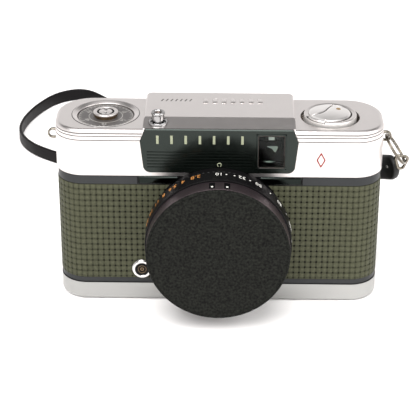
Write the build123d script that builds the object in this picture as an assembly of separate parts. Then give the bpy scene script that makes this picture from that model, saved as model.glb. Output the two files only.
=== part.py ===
"""Half frame camera as separate bodies, in millimetres.

X runs along the body, Y runs from the front of the camera to its back, and Z is up.
The origin is the mouth of the tripod socket: on the base plane, below the lens axis.
"""
from build123d import *
from math import atan2, cos, degrees, hypot, radians, sin, tan
import os

os.makedirs("parts", exist_ok=True)

# ---- driving dimensions -----------------------------------------------------------------
BODY_W = 110.0          # over the side coverings
BODY_T = 27.8           # front covering to back covering
FRONT_R = 9.5           # plan radius of the front corners
BACK_R = 12.0           # plan radius of the back corners
PARTING_Y = 2.0         # the back cover starts here
FIT = 0.05              # radial clearance of a running fit
GAP = 0.3               # clearance between bodies that move past each other

BASE_TOP = 6.75         # upper edge of the base tray
SKIN_LOW = 8.75         # lower edge of the coverings
SKIN_HIGH = 44.8        # upper edge of the front coverings
COVER_LOW = 48.15       # lower edge of the top cover at the front
BACK_HIGH = 52.0        # upper edge of the back cover
DECK = 64.7             # flat top of the top cover
HUMP = 66.7             # raised middle of the top cover
HUMP_X = 25.2           # half width of the raised middle
SLOPE_Y = -7.1          # where the raised middle starts to slope down to the front
SLOPE_DROP = 1.13       # fall of the slope from there to the front

SKIN_T = 0.6            # covering thickness
STRIP_IN = 0.2          # the bare strips lie this far inside the coverings
WALL = 0.8              # sheet thickness of the top cover and of the base tray
PROUD = 0.2             # the top cover stands this far outside the coverings
CAST_IN = 1.3           # inner face of the casting's front wall, from the covering

LENS_Z = 29.8           # lens axis
RING_R = 24.5           # film speed ring
FOCUS_R = 23.8          # focus ring
BARREL_R = 22.5         # fixed barrel under both rings
MOUNT_R = 21.9          # foot of the barrel
BOARD_R = 22.3          # lens board's disc, just wider than the foot
CAP_FRONT = -36.2
CAP_BACK = -35.1
FOCUS_FRONT = -35.0
FOCUS_BACK = -29.3
SPEED_BACK = -22.3
BOARD_FRONT = -14.0
FRONT_Y = -BODY_T / 2
BACK_Y = BODY_T / 2

COUNTER = (-38.5, -0.3)
WHEEL = (-38.5, 1.5)
WHEEL_R = 13.4
WHEEL_LOW = 53.2
WHEEL_HIGH = 56.2
SPROCKET = (-20.5, 3.95)
SPROCKET_R = 6.05
REWIND = (37.2, -1.35)
REWIND_R = 8.9
RELEASE = (-20.3, -10.3)
SYNC = (-26.3, 12.73)   # X and Z
FINDER = (17.3, 57.7)   # X and Z
EYEPIECE_R = 4.1
FILM_Y = 9.9            # film plane: front face of the film

CHAMBER_X = (24.8, 50.2)
CHAMBER_Z = (4.4, 51.3)
SPOOL_X = (-50.4, -27.0)
CAST_TOP = 48.0
CAST_LOW = 6.9
LIFT = 7.5              # pull-up travel of the rewind knob

METER = (-4.0, 2.0)
RETURN_AT = (-23.8, -7.0)   # rewind release in the base
KEY = (-39.0, 0.0)      # back lock
BAIL = (KEY[0] + 2.2, 0.8)  # X and Z of the fold-out handle's hinge
BAIL_WIRE = 0.3
SCREWS = [(-18.0, 10.6), (18.0, 10.6), (46.0, 9.0), (-48.5, 8.6)]

PINION_TEETH = 26       # on the sprocket
GEAR_TEETH = 34         # on the advance wheel

STRAP_W = 5.2
STRAP_T = 1.2


# ---- helpers ----------------------------------------------------------------------------
def outline(inset=0.0):
    """Plan of the body, drawn in by the inset."""
    face = Rectangle(BODY_W - 2 * inset, BODY_T - 2 * inset)
    face = fillet(face.vertices().group_by(Axis.Y)[0], FRONT_R - inset)
    return fillet(face.vertices().group_by(Axis.Y)[-1], BACK_R - inset)


def prism(face, low, high):
    """A flat outline raised between two heights."""
    return Pos(0, 0, low) * extrude(face, high - low)


def wall(outer, inner, low, high):
    """A wall that follows the plan of the body, between two insets."""
    return prism(outline(outer), low, high) - prism(outline(inner), low, high)


def box(x0, x1, y0, y1, z0, z1):
    """A block between its two corners."""
    return Pos((x0 + x1) / 2, (y0 + y1) / 2, (z0 + z1) / 2) * Box(x1 - x0, y1 - y0, z1 - z0)


def post(r, low, high, at=(0, 0)):
    """An upright cylinder between two heights."""
    return Pos(at[0], at[1], (low + high) / 2) * Cylinder(r, high - low)


def tube(outer, inner, low, high, at=(0, 0)):
    """An upright tube between two heights."""
    return post(outer, low, high, at) - post(inner, low, high, at)


def rod(r, front, back, at=(0, LENS_Z)):
    """A cylinder along Y between two depths, at an X and a Z."""
    return Pos(at[0], (front + back) / 2, at[1]) * Rot(90, 0, 0) * Cylinder(r, back - front)


def ring(outer, inner, front, back, at=(0, LENS_Z)):
    """A tube along Y between two depths."""
    return rod(outer, front, back, at) - rod(inner, front, back, at)


def upright(points, front, back, radii=None):
    """An outline in X and Z, extended along Y; radii rounds its corners by point number."""
    face = make_face(Polyline(*[(x, 0, z) for x, z in points], close=True))
    for number, r in (radii or {}).items():
        x, z = points[number]
        near = face.vertices().sort_by_distance((x, 0, z))[0]
        face = fillet(near, r)
    solid = extrude(face, back - front, dir=(0, 1, 0))
    return Pos(0, front, 0) * solid


def side_profile(points, x0, x1):
    """An outline in Y and Z, extended along X."""
    face = make_face(Polyline(*[(x0, y, z) for y, z in points], close=True))
    return extrude(face, x1 - x0, dir=(1, 0, 0))


def turned(points, axis=Axis.Z, at=(0, 0, 0)):
    """A half section given as radius and height, turned about the vertical."""
    face = make_face(Polyline(*[(r, 0, h) for r, h in points], close=True))
    return Pos(*at) * revolve(face, axis)


def turned_lens_axis(points, at=(0, LENS_Z)):
    """A half section given as radius and depth, turned about a line along Y."""
    face = make_face(Polyline(*[(r, y, 0) for r, y in points], close=True))
    return Pos(at[0], 0, at[1]) * revolve(face, Axis.Y)


def spring(r, wire, low, high, turns, at):
    """A round wire coil between two heights."""
    path = Helix(pitch=(high - low - wire) / turns, height=high - low - wire, radius=r)
    section = Plane(origin=path @ 0, z_dir=path % 0) * Circle(wire / 2)
    return Pos(at[0], at[1], low + wire / 2) * sweep(section, path=path, is_frenet=True)


def gear(teeth, module, low, high, at, first_tooth):
    """A straight gear with trapezoid teeth, thinned for backlash; first_tooth is in degrees."""
    pitch_r = teeth * module / 2
    tip, root = pitch_r + 0.85 * module, pitch_r - 1.1 * module
    step = 360 / teeth
    points = []
    for i in range(teeth):
        middle = first_tooth + i * step
        for r, turn in ((root, -0.34), (tip, -0.11), (tip, 0.11), (root, 0.34)):
            angle = radians(middle + turn * step)
            points.append((r * cos(angle), r * sin(angle)))
    return Pos(at[0], at[1], low) * extrude(Polygon(*points, align=None), high - low)


def save(shape, node):
    """Writes one sub-part."""
    export_step(shape, f"parts/{node}.step")


# ---- casting and what is fixed in its front ---------------------------------------------
def body_casting():
    """Die cast frame: cassette chamber, light box, take-up chamber and shutter seat."""
    front_half = box(-60, 60, -20, PARTING_Y, 0, 70)
    skin_pocket = box(-60, 60, -20, PARTING_Y + 1, SKIN_LOW, SKIN_HIGH)
    board_pocket = box(-27.0, 27.7, -20, FRONT_Y + SKIN_T, SKIN_LOW, COVER_LOW)
    body = prism(outline(STRIP_IN), CAST_LOW, CAST_TOP) & front_half
    body -= wall(-1.0, SKIN_T, SKIN_LOW, SKIN_HIGH) & skin_pocket
    body -= board_pocket
    inner = outline(2.4)
    behind = box(-60, 60, PARTING_Y - 1, FILM_Y - 1.3, 0, 70)
    body += prism(inner, CAST_LOW, CAST_TOP) & behind
    ahead = box(CHAMBER_X[0] - 1.0, 60, -20, FILM_Y - 1.3, 0, 70)
    tower = prism(outline(CAST_IN - 0.7), CAST_TOP, CHAMBER_Z[1] + 1.2)
    foot = prism(outline(WALL + 0.4), CHAMBER_Z[0] - 1.2, CAST_LOW)
    body += (tower + foot) & ahead & prism(outline(2.0), 0, 60)
    # cassette chamber, open to the back
    chamber = Rectangle(CHAMBER_X[1] - CHAMBER_X[0], 40, align=(Align.MIN, Align.MIN))
    chamber = fillet(chamber.vertices().group_by(Axis.Y)[0], 8.5)
    hollow = Pos(CHAMBER_X[0], FRONT_Y + CAST_IN) * chamber
    body -= prism(hollow, CHAMBER_Z[0], CHAMBER_Z[1])
    # take-up chamber and sprocket bay, open to the back
    spool = Rectangle(SPOOL_X[1] - SPOOL_X[0], 40, align=(Align.MIN, Align.MIN))
    spool = fillet(spool.vertices().group_by(Axis.Y)[0][0], 8.5)
    body -= prism(Pos(SPOOL_X[0], FRONT_Y + CAST_IN) * spool, SKIN_LOW, CAST_TOP - 1.1)
    body -= box(SPOOL_X[1] - 1, -12.9, -4.0, 20, SKIN_LOW, CAST_TOP - 1.1)
    # lightening pocket beside the light box
    body -= box(13.4, 23.4, -5.5, 7.2, SKIN_LOW + 1.0, 60)
    # shutter seat, light box and film gate seat
    body -= rod(18.4, -20, -7.5)
    body -= rod(9.4, -8, -5.0)
    body -= box(-9.6, 9.6, -6, 20, LENS_Z - 12.6, LENS_Z + 12.6)
    # shaft holes
    body -= post(3.4, CHAMBER_Z[1] - 1, CHAMBER_Z[1] + 2, REWIND)
    body -= post(2.0 + FIT, CAST_TOP - 2, CAST_TOP + 1, WHEEL)
    body -= post(1.5 + FIT, CAST_LOW - 1, SKIN_LOW + 1, WHEEL)
    body -= post(1.5 + FIT, CAST_TOP - 2, CAST_TOP + 1, SPROCKET)
    body -= post(1.5 + FIT, CAST_LOW - 1, SKIN_LOW + 1, SPROCKET)
    body -= post(1.9 + FIT, CAST_LOW - 1, 12.4, RETURN_AT)
    body -= rod(3.35, -20, FRONT_Y + CAST_IN + 0.4, SYNC)
    return body


def lens_board():
    """Black plate behind the lens, with the strip above it."""
    front, back = BOARD_FRONT, FRONT_Y + SKIN_T
    plate = rod(BOARD_R, front, back) & box(-30, 30, -20, 0, SKIN_LOW, SKIN_HIGH)
    plate += box(-27.0, 27.7, front + 0.15, back, SKIN_HIGH, COVER_LOW - 0.05)
    return plate - rod(18.1, front - 1, back + 1)


def front_skin(side):
    """Textured covering on one side of the front, side -1 or 1, round to the parting line."""
    skin = wall(0.0, SKIN_T, SKIN_LOW, SKIN_HIGH)
    skin &= box(0, 60, -20, PARTING_Y, 0, 70) if side > 0 else box(-60, 0, -20, PARTING_Y, 0, 70)
    skin -= rod(BOARD_R + 0.1, -20, 0)
    # the lens board's plate ends on this side of the middle
    skin -= box(-7.6, 7.6, -20, 0, 0, LENS_Z)
    if side < 0:
        skin -= rod(3.6, -20, 0, SYNC)
    return skin


def film_gate():
    """Steel gate with the half frame aperture and four film rails."""
    back = FILM_Y - 0.5
    plate = box(-12.3, 23.6, back - 0.8, back, LENS_Z - 20, LENS_Z + 17.8)
    plate -= box(-9, 9, back - 2, back + 2, LENS_Z - 12, LENS_Z + 12)
    for offset, height in ((13.4, 0.5), (17.1, 0.8)):
        for side in (-1, 1):
            z = LENS_Z + side * offset
            plate += box(-12.3, 23.6, back - 0.1, back + height, z - 0.6, z + 0.6)
    return plate


# ---- top cover --------------------------------------------------------------------------
def top_cover():
    """Pressed top cover with the raised middle, grooved front edge and its openings."""
    body = prism(outline(-PROUD), COVER_LOW, DECK)
    body = fillet(body.edges().group_by(Axis.Z)[-1], 1.4)
    front, back = FRONT_Y - PROUD, BACK_Y + PROUD
    slope_front = HUMP - SLOPE_DROP
    hump = side_profile(
        [(back, 60), (back, HUMP), (SLOPE_Y, HUMP), (front, slope_front), (front, 60)],
        -HUMP_X, HUMP_X,
    )
    hump = fillet(hump.edges().filter_by(Axis.Z).group_by(Axis.Y)[-1], 2.0)
    hump = fillet(hump.faces().sort_by(Axis.Z)[-1].edges().sort_by(Axis.Y)[1:], 0.6)
    body += hump
    inner = prism(outline(WALL - PROUD), COVER_LOW - 1, DECK - WALL)
    inner_hump = side_profile(
        [(back - WALL, 55), (back - WALL, HUMP - WALL), (SLOPE_Y, HUMP - WALL),
         (front + WALL, slope_front - WALL), (front + WALL, 55)],
        -HUMP_X + WALL, HUMP_X - WALL,
    )
    body -= inner
    body -= inner_hump
    # the back is shorter, so that a cassette can be put in
    body -= box(-60, 60, PARTING_Y, 30, COVER_LOW - 1, BACK_HIGH + GAP)
    # grooves round the front edge
    for z in (63.86 - 0.5, 62.4, 60.93):
        groove = wall(-PROUD - 1, 0.05, z - 0.17, z + 0.17)
        body -= groove & box(-60, 60, -20, PARTING_Y, 0, 70)
    # front opening behind the fascia
    body -= upright([(-23.4, 64.6), (23.4, 64.6), (25.0, 60.9), (24.0, 51.0), (-24.0, 51.0),
                     (-25.0, 60.9)], front - 1, front + 2)
    # notch round the lens mount
    body -= rod(21.8, front - 1, front + 2)
    # openings in the deck
    body -= post(11.45, 60, 70, COUNTER)
    body -= post(10.0, 60, 70, REWIND)
    body -= post(3.3, 60, 70, RELEASE)
    # eyepiece hole and advance wheel slot in the back
    body -= rod(4.9, back - 3, back + 1, FINDER)
    body -= box(WHEEL[0] - 8.4, WHEEL[0] + 8.4, back - 3, back + 2, WHEEL_LOW - 0.4, WHEEL_HIGH + 0.4)
    # slots that take the strap lugs
    for side in (-1, 1):
        body -= Pos(side * 55, 0, 57.3) * Box(3, 1.5, 4.5)
    return body


def fascia():
    """Dark front plate with ribs and the finder opening."""
    front, back = -15.0, FRONT_Y - PROUD - 0.05
    points = [(-24.6, 65.5), (24.6, 65.5), (26.3, 60.93), (25.1, 49.7), (-25.1, 49.7), (-26.3, 60.93)]
    plate = upright(points, front, back, {3: 2.5, 4: 2.5, 0: 0.8, 1: 0.8})
    plate = chamfer(plate.faces().sort_by(Axis.Y)[0].edges(), 0.25)
    plate -= rod(MOUNT_R + 0.1, front - 1, back + 1)
    x, z = FINDER
    plate -= box(x - 4.95, x + 4.95, front - 1, back + 1, z - 6.45, z + 6.45)
    for i in range(6):
        groove_z = 52.0 + i * 1.1
        plate -= box(-24.0, 11.0, front - 1, front + 0.3, groove_z - 0.28, groove_z + 0.28)
    return plate


def finder_bezel():
    """Rim round the finder window."""
    x, z = FINDER
    rim = box(x - 4.9, x + 4.9, -15.3, -14.0, z - 6.4, z + 6.4)
    return rim - box(x - 4.2, x + 4.2, -16, -13, z - 5.7, z + 5.7)


def finder_window():
    """Flat glass of the finder."""
    x, z = FINDER
    return box(x - 4.15, x + 4.15, -14.7, -13.9, z - 5.65, z + 5.65)


def finder_tunnel():
    """Rectangular finder tube with its mask."""
    x, z = FINDER
    body = box(x - 5.3, x + 5.3, -13.2, 10.6, z - 6.8, z + 6.8)
    body -= box(x - 4.6, x + 4.6, -14, 8.6, z - 6.1, z + 6.1)
    body -= rod(3.2, 8, 12, FINDER)
    return body


def finder_objective():
    """Negative lens in the finder tube, hollowed on its back."""
    x, z = FINDER
    lens = box(x - 4.5, x + 4.5, -10.5, -8.3, z - 6.0, z + 6.0)
    return lens - Pos(x, 8.5, z) * Sphere(18.2)


def eyepiece_lens():
    """Round positive lens at the eye end."""
    return rod(EYEPIECE_R, 10.7, 13.2, FINDER) & Pos(FINDER[0], -5.0, FINDER[1]) * Sphere(18.6)


def eyepiece_ring():
    """Ring that holds the eyepiece in the back of the top cover."""
    seat = ring(4.85, EYEPIECE_R - 0.5, 13.25, 14.9, FINDER)
    return seat + ring(5.9, EYEPIECE_R - 0.5, 14.15, 14.9, FINDER)


def counter_cup():
    """Bright bezel with the cup that carries the frame counter."""
    rim = turned([(9.65, 62.1), (10.9, 62.1), (10.9, 63.6), (11.4, 63.6), (11.4, 64.75),
                  (11.1, 64.95), (9.65, 64.3)])
    floor = tube(9.7, 1.5 + FIT, 62.1, 62.7)
    return Pos(*COUNTER) * (rim + floor)


def counter_dial():
    """Numbered disc of the frame counter on its spindle, with the gear that steps it round."""
    disc = post(9.4, 63.1, 63.8, COUNTER) + post(1.5, 58.4, 63.2, COUNTER)
    return disc + gear(40, 0.3, 58.5, 59.3, COUNTER, 0)


def counter_knob():
    """Small setting knob on the dial, with two key holes in its top."""
    knob = turned([(0, 63.8), (3.7, 63.8), (3.7, 64.3), (4.2, 64.5), (4.2, 65.3), (3.9, 65.6),
                   (2.9, 65.6), (2.7, 65.45), (0, 65.45)])
    for side in (-1, 1):
        knob -= Pos(0, side * 1.6, 65.2) * Cylinder(0.4, 1.0)
    return Pos(*COUNTER) * knob


# ---- shutter release --------------------------------------------------------------------
def release_collar():
    """Bright collar round the shutter release."""
    body = turned([(2.35 + FIT, 61.8), (3.25, 61.8), (3.25, 66.55), (3.0, 66.8), (2.35 + FIT, 66.8)])
    return Pos(*RELEASE) * body


def release_button():
    """Shutter release with the cable release thread in its top and the rod down to the shutter."""
    body = turned([(0, 50.6), (1.0, 50.6), (1.0, 61.0), (2.35, 61.0), (2.35, 69.6), (2.0, 69.95),
                   (1.7, 69.95), (1.25, 69.4), (1.25, 67.2), (0, 67.2)])
    return Pos(*RELEASE) * body


def release_spring():
    """Return spring of the release."""
    return spring(1.75, 0.4, 48.1, 61.0, 7, RELEASE)


# ---- film transport ---------------------------------------------------------------------
def gear_phase():
    """Direction from the wheel to the sprocket in degrees, and the gears' module."""
    dx, dy = SPROCKET[0] - WHEEL[0], SPROCKET[1] - WHEEL[1]
    return degrees(atan2(dy, dx)), 2 * hypot(dx, dy) / (GEAR_TEETH + PINION_TEETH)


def advance_wheel():
    """Thumb wheel whose milled edge stands out of the back, with its shaft and gear."""
    notches = 48
    wheel = post(WHEEL_R, WHEEL_LOW, WHEEL_HIGH)
    wheel = chamfer(wheel.edges(), 0.3)
    for i in range(notches):
        turn = 360 * i / notches
        wheel -= Rot(0, 0, turn) * Pos(WHEEL_R + 0.15, 0, (WHEEL_LOW + WHEEL_HIGH) / 2) * Box(0.9, 0.7, 5)
    wheel -= tube(WHEEL_R - 2.2, 4.5, WHEEL_HIGH - 0.8, WHEEL_HIGH + 1)
    wheel += post(2.0, 46.7, WHEEL_LOW + 0.1)
    angle, module = gear_phase()
    return Pos(*WHEEL) * wheel + gear(GEAR_TEETH, module, 49.2, 51.6, WHEEL, angle)


def takeup_spool():
    """Slotted spool that winds the film."""
    spool = post(6.0, 9.6, 46.6, WHEEL) - post(4.6, 8, 45.0, WHEEL)
    spool += post(4.7, 9.6, 10.8, WHEEL) + post(1.5, 7.2, 9.7, WHEEL)
    for i in range(4):
        spool -= Pos(WHEEL[0], WHEEL[1], 28) * Rot(0, 0, 90 * i + 20) * Pos(5.4, 0, 0) * Box(3.0, 1.6, 26)
    return spool


def sprocket():
    """Film sprocket: two rings of eight teeth on one drum, and the gear that drives it."""
    drum = post(SPROCKET_R, 9.8, 46.2)
    drum -= tube(SPROCKET_R + 1, SPROCKET_R - 1.6, 16.5, 43.0)
    tooth = Pos(SPROCKET_R + 0.3, 0, 0) * Box(1.6, 1.3, 1.7)
    for i in range(8):
        for z in (14.2, 45.1):
            drum += Rot(0, 0, 45 * i + 22.5) * Pos(0, 0, z) * tooth
    drum += post(1.5, 7.2, 51.8)
    angle, module = gear_phase()
    first_tooth = angle + 180 + 180 / PINION_TEETH
    return Pos(*SPROCKET) * drum + gear(PINION_TEETH, module, 49.2, 51.6, SPROCKET, first_tooth)


# ---- rewind -----------------------------------------------------------------------------
def rewind_cup():
    """Recess in the deck that the rewind knob sits in."""
    cup = tube(10.9, 10.0, 59.4, DECK - WALL - 0.05, REWIND)
    return cup + tube(10.9, 3.0 + FIT, 59.4, 60.4, REWIND)


def rewind_bush():
    """Splined bush that turns in the cup and guides the shaft."""
    body = turned([(2.0 + FIT, 58.9), (4.2, 58.9), (4.2, 59.35), (3.0, 59.35), (3.0, 60.45), (4.2, 60.45),
                   (4.2, 60.9), (2.0 + FIT, 60.9)])
    return Pos(*REWIND) * body


CRANK_AXIS_S = 5.9      # distance of the crank's hinge from the knob's centre
CRANK_AXIS_Z = 65.9
CRANK_TURN = 50.0       # direction of the hinge from the knob's centre, in degrees
DISC_R = 7.1            # domed disc on the knob
DOME_TOP = 66.9
TAB = (206.0, 253.0)    # the crank's finger tab spans these directions


def sector(inner, outer, start, end, low, high):
    """Part of a flat ring between two directions in degrees."""
    steps = 12
    turns = [radians(start + (end - start) * i / steps) for i in range(steps + 1)]
    points = [(outer * cos(t), outer * sin(t)) for t in turns]
    points += [(inner * cos(t), inner * sin(t)) for t in reversed(turns)]
    return Pos(0, 0, low) * extrude(Polygon(*points, align=None), high - low)


def dome(r, low):
    """Shallow dome over the knob's disc."""
    rise = 0.9
    sphere_r = (DISC_R ** 2 + rise ** 2) / (2 * rise)
    return post(r, low, DOME_TOP + 1) & Pos(0, 0, DOME_TOP - sphere_r) * Sphere(sphere_r)


def crank_side(shift):
    """Everything on the crank's side of the curved seam, moved along by shift."""
    seam = Spline((2.0 + shift, 9.0), (-0.9 + shift, 2.3), (-3.2 + 0.7 * shift, -1.2 - 0.7 * shift),
                  (-10.0, -4.4 - shift))
    edges = [seam, Line(seam @ 1, (-10, -12)), Line((-10, -12), (12, -12)), Line((12, -12), (12, 9)),
             Line((12, 9), seam @ 0)]
    return Pos(0, 0, 60) * extrude(make_face(edges), 12)


def hinge_frame():
    """Turns X to the hinge's direction from the knob's centre."""
    return Rot(0, 0, CRANK_TURN)


def rewind_knob():
    """Rewind knob: rim, fixed half of the dome, and the pocket and hinge pin for the crank."""
    knob = turned([(0, 61.25), (8.6, 61.25), (REWIND_R, 61.6), (REWIND_R, 65.6), (8.6, 65.95), (7.6, 66.1),
                   (7.3, 66.0), (7.3, 64.3), (0, 64.3)])
    fixed = dome(DISC_R, 64.2) - crank_side(0.0)
    knob += fixed
    knob -= sector(6.3, 10.0, TAB[0] - 2.5, TAB[1] + 2.5, 65.0, 70)
    knob += post(DISC_R, 64.2, 65.0) & crank_side(0.3) & hinge_frame() * box(-20, 4.9, -20, 20, 60, 70)
    for side in (-1, 1):
        knob += hinge_frame() * box(5.3, 6.5, side * 3.2 - 0.5, side * 3.2 + 0.5, 64.2, 66.3)
    knob += hinge_frame() * Pos(CRANK_AXIS_S, 0, CRANK_AXIS_Z) * Rot(90, 0, 0) * Cylinder(0.35, 7.2)
    return Pos(*REWIND) * knob


def rewind_crank():
    """Fold-out crank: the other part of the dome, with a finger tab over the rim."""
    plate = dome(DISC_R - 0.1, 65.3) & crank_side(0.25)
    plate &= hinge_frame() * box(-20, CRANK_AXIS_S, -20, 20, 60, 70)
    plate -= hinge_frame() * box(4.9, 10, 2.4, 20, 60, 70)
    plate -= hinge_frame() * box(4.9, 10, -20, -2.4, 60, 70)
    plate += sector(6.6, 8.7, TAB[0], TAB[1], 65.3, 66.15)
    barrel = hinge_frame() * Pos(CRANK_AXIS_S, 0, CRANK_AXIS_Z) * Rot(90, 0, 0) * Cylinder(0.6, 4.8)
    plate += barrel
    plate -= hinge_frame() * Pos(CRANK_AXIS_S, 0, CRANK_AXIS_Z) * Rot(90, 0, 0) * Cylinder(0.35 + FIT, 9)
    return Pos(*REWIND) * plate


def rewind_shaft():
    """Shaft with the fork that turns the cassette's spool."""
    shaft = post(2.0, 50.6, 61.25)
    fork = box(-2.7, 2.7, -0.9, 0.9, 46.6, 50.7) - box(-1.2, 1.2, -2, 2, 46, 49.4)
    return Pos(*REWIND) * (shaft + fork)


# ---- lens and shutter -------------------------------------------------------------------
def lens_barrel():
    """Barrel that the film speed ring and the focus ring turn on, with a flange and a slimmer foot."""
    back = BOARD_FRONT - GAP
    flange = SPEED_BACK + 0.1
    return turned_lens_axis([(BARREL_R, -32.8), (BARREL_R, flange), (23.3, flange), (23.4, flange + 0.1),
                             (23.4, flange + 0.6), (MOUNT_R, flange + 0.6), (MOUNT_R, back), (21.6, back),
                             (21.6, BOARD_FRONT), (21.2, BOARD_FRONT), (21.2, -32.8)])


def speed_ring():
    """Film speed and aperture ring."""
    edge = RING_R - 0.3
    back, front = SPEED_BACK, FOCUS_BACK + 0.1
    ribs = 60
    body = turned_lens_axis([(BARREL_R + 0.1, front), (edge, front), (RING_R, front + 0.3), (RING_R, back - 0.3),
                             (edge, back), (BARREL_R + 0.1, back)])
    for i in range(ribs):
        angle = 360 * i / ribs
        place = Pos(0, 0, LENS_Z) * Rot(0, angle, 0) * Pos(RING_R + 0.1, back - 0.8, 0)
        body -= place * Box(0.6, 0.8, 0.9)
    return body


def focus_ring():
    """Focus ring."""
    return turned_lens_axis([(BARREL_R + 0.1, FOCUS_FRONT), (FOCUS_R - 0.25, FOCUS_FRONT),
                             (FOCUS_R, FOCUS_FRONT + 0.25), (FOCUS_R, FOCUS_BACK), (BARREL_R + 0.1, FOCUS_BACK)])


def lens_cap():
    """Push-on front cap with a plug that enters the focus ring."""
    disc = turned_lens_axis([(0, CAP_FRONT), (FOCUS_R - 0.4, CAP_FRONT), (FOCUS_R, CAP_FRONT + 0.3),
                             (FOCUS_R, CAP_BACK), (0, CAP_BACK)])
    return disc + ring(BARREL_R - 0.2, 21.0, CAP_BACK - 0.1, -33.3)


def cell_window():
    """Clear ring with moulded beads, in front of the light cell."""
    return ring(21.1, 12.8, -31.6, -30.2)


def light_cell():
    """Ring shaped light cell round the lens."""
    return ring(20.9, 12.9, -29.9, -29.1)


def front_lens_cell():
    """Threaded cell that holds the front lens."""
    return turned_lens_axis([(8.3, -31.9), (9.4, -31.9), (12.6, -31.2), (12.6, -30.6), (9.3, -30.6), (9.3, -24.7),
                             (8.3, -24.7)])


def front_element():
    """Front lens."""
    bulge = Pos(0, -31.2 + 22.0, LENS_Z) * Sphere(22.0)
    return rod(8.25, -31.4, -28.2) & bulge


def rear_element():
    """Rear lens."""
    bulge = Pos(0, -10.9 - 18.0, LENS_Z) * Sphere(18.0)
    return rod(7.15, -14.4, -10.6) & bulge


BLADE_PIN = (-14.5, 8.0)        # first shutter blade's pivot, from the lens axis


def shutter_case():
    """Drum round the shutter and aperture blades, with the blades' pins and the rear lens cell."""
    case = turned_lens_axis([(9.35, -25.4), (19.9, -25.4), (19.9, -28.9), (20.9, -28.9), (20.9, -14.4),
                             (18.0, -14.4), (18.0, -13.4), (9.1, -13.4), (9.1, -11.8), (7.9, -10.6),
                             (7.2, -10.6), (7.2, -18.5), (19.9, -18.5), (19.9, -24.5), (9.35, -24.5)])
    for side in (1, -1):
        case += rod(0.8, -24.6, -18.4, (side * BLADE_PIN[0], LENS_Z + side * BLADE_PIN[1]))
    return case


def shutter_blade(side, front):
    """Blade that covers half of the opening, side 1 on the left or -1 on the right."""
    thick = 0.25
    px, pz = side * BLADE_PIN[0], LENS_Z + side * BLADE_PIN[1]
    half = rod(7.2, front, front + thick)
    half &= box(-20, 0.5, -40, 0, 0, 60) if side > 0 else box(-0.5, 20, -40, 0, 0, 60)
    arm_turn = degrees(atan2(pz - LENS_Z, -px))
    arm = Pos(px, front + thick / 2, pz) * Rot(0, arm_turn, 0) * Pos(6.0, 0, 0) * Box(12.0, thick, 3.0)
    boss = rod(1.8, front, front + thick, (px, pz))
    return half + arm + boss - rod(0.8 + FIT, front - 1, front + 1, (px, pz))


def aperture_blade(side, front):
    """Sliding vane with a vee notch, side -1 or 1."""
    thick = 0.25
    vane = box(-12.0, 4.5, front, front + thick, LENS_Z - 6.4, LENS_Z + 6.4)
    notch = upright([(-1.8, LENS_Z), (5.5, LENS_Z - 7.3), (5.5, LENS_Z + 7.3)], front - 1, front + 1)
    vane -= notch
    return vane if side < 0 else mirror(vane, Plane.YZ)


# ---- light meter ------------------------------------------------------------------------
def meter_case():
    """Case of the light meter movement."""
    body = post(7.0, 48.05, 57.0, METER)
    body += box(METER[0] - 8.2, METER[0] + 8.2, METER[1] - 2.5, METER[1] + 2.5, 48.05, 48.9)
    return body - post(0.4 + FIT, 54, 58, METER)


def meter_needle():
    """Pointer of the light meter on its staff."""
    staff = post(0.4, 54.2, 58.6) + post(1.1, 57.3, 58.0)
    pointer = box(0, 11.5, -0.25, 0.25, 57.4, 57.7)
    return Pos(*METER) * (staff + pointer)


# ---- flash socket and lugs --------------------------------------------------------------
def sync_socket():
    """Flash socket: outer contact, insulator and centre contact, bought in as one piece."""
    back = FRONT_Y + CAST_IN + 0.35
    shell = ring(3.3, 2.2, -15.2, back, SYNC) + ring(3.5, 2.2, -14.7, -14.0, SYNC)
    return Compound(children=[shell, ring(2.2, 0.55, -14.3, back, SYNC), rod(0.55, -14.8, back, SYNC)])


LUG_X, LUG_Z, LUG_HOLE = 56.6, 57.3, 1.2


def strap_lugs():
    """Pierced lugs on both ends of the top cover."""
    lugs = []
    for side in (-1, 1):
        x = side * LUG_X
        root = side * 53.8
        tongue = box(min(root, x), max(root, x), -0.7, 0.7, LUG_Z - 1.9, LUG_Z + 1.9)
        lug = tongue + rod(1.9, -0.7, 0.7, (x, LUG_Z))
        lugs.append(lug - rod(LUG_HOLE, -2, 2, (x, LUG_Z)))
    return Compound(children=lugs)


# ---- back cover -------------------------------------------------------------------------
def base_plate():
    """Base tray with the recess for the back lock and its holes."""
    tray = prism(outline(0.0), 0, BASE_TOP)
    tray = fillet(tray.edges().group_by(Axis.Z)[0], 1.8)
    tray -= prism(outline(WALL), 1.0, BASE_TOP + 1)
    tray += tube(9.7, 2.5, 0.2, 3.1, KEY)
    tray -= post(8.9, -1, 2.3, KEY)
    tray -= post(2.4 + FIT, -1, 4, KEY)
    tray -= post(6.5, -1, 3)
    tray -= post(2.6, -1, 3, RETURN_AT)
    for at in SCREWS:
        tray -= turned([(0, -0.1), (1.75, -0.1), (0.9, 0.75), (0.9, 2), (0, 2)], at=(at[0], at[1], 0))
    return tray


def back_cover():
    """Back shell that slides down off the body, joined to the base tray."""
    behind = box(-60, 60, PARTING_Y + GAP, 30, 0, 70)
    shell = wall(STRIP_IN, SKIN_T + 0.6, BASE_TOP, BACK_HIGH)
    shell -= wall(-1.0, SKIN_T, SKIN_LOW, BACK_HIGH - 1.3)
    shell += wall(WALL, WALL + 0.8, 1.0, BASE_TOP + 0.1)
    shell += wall(WALL, WALL + 5.5, 1.0, 1.8) & box(-60, 60, 6, 30, 0, 5)
    shell &= behind
    shell -= post(9.9, 0, 4, KEY) + post(8.2, 0, 4)
    for at in SCREWS:
        shell += post(1.8, 1.0, 2.8, at)
        shell -= post(0.85, 0, 4, at)
    return shell


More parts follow.
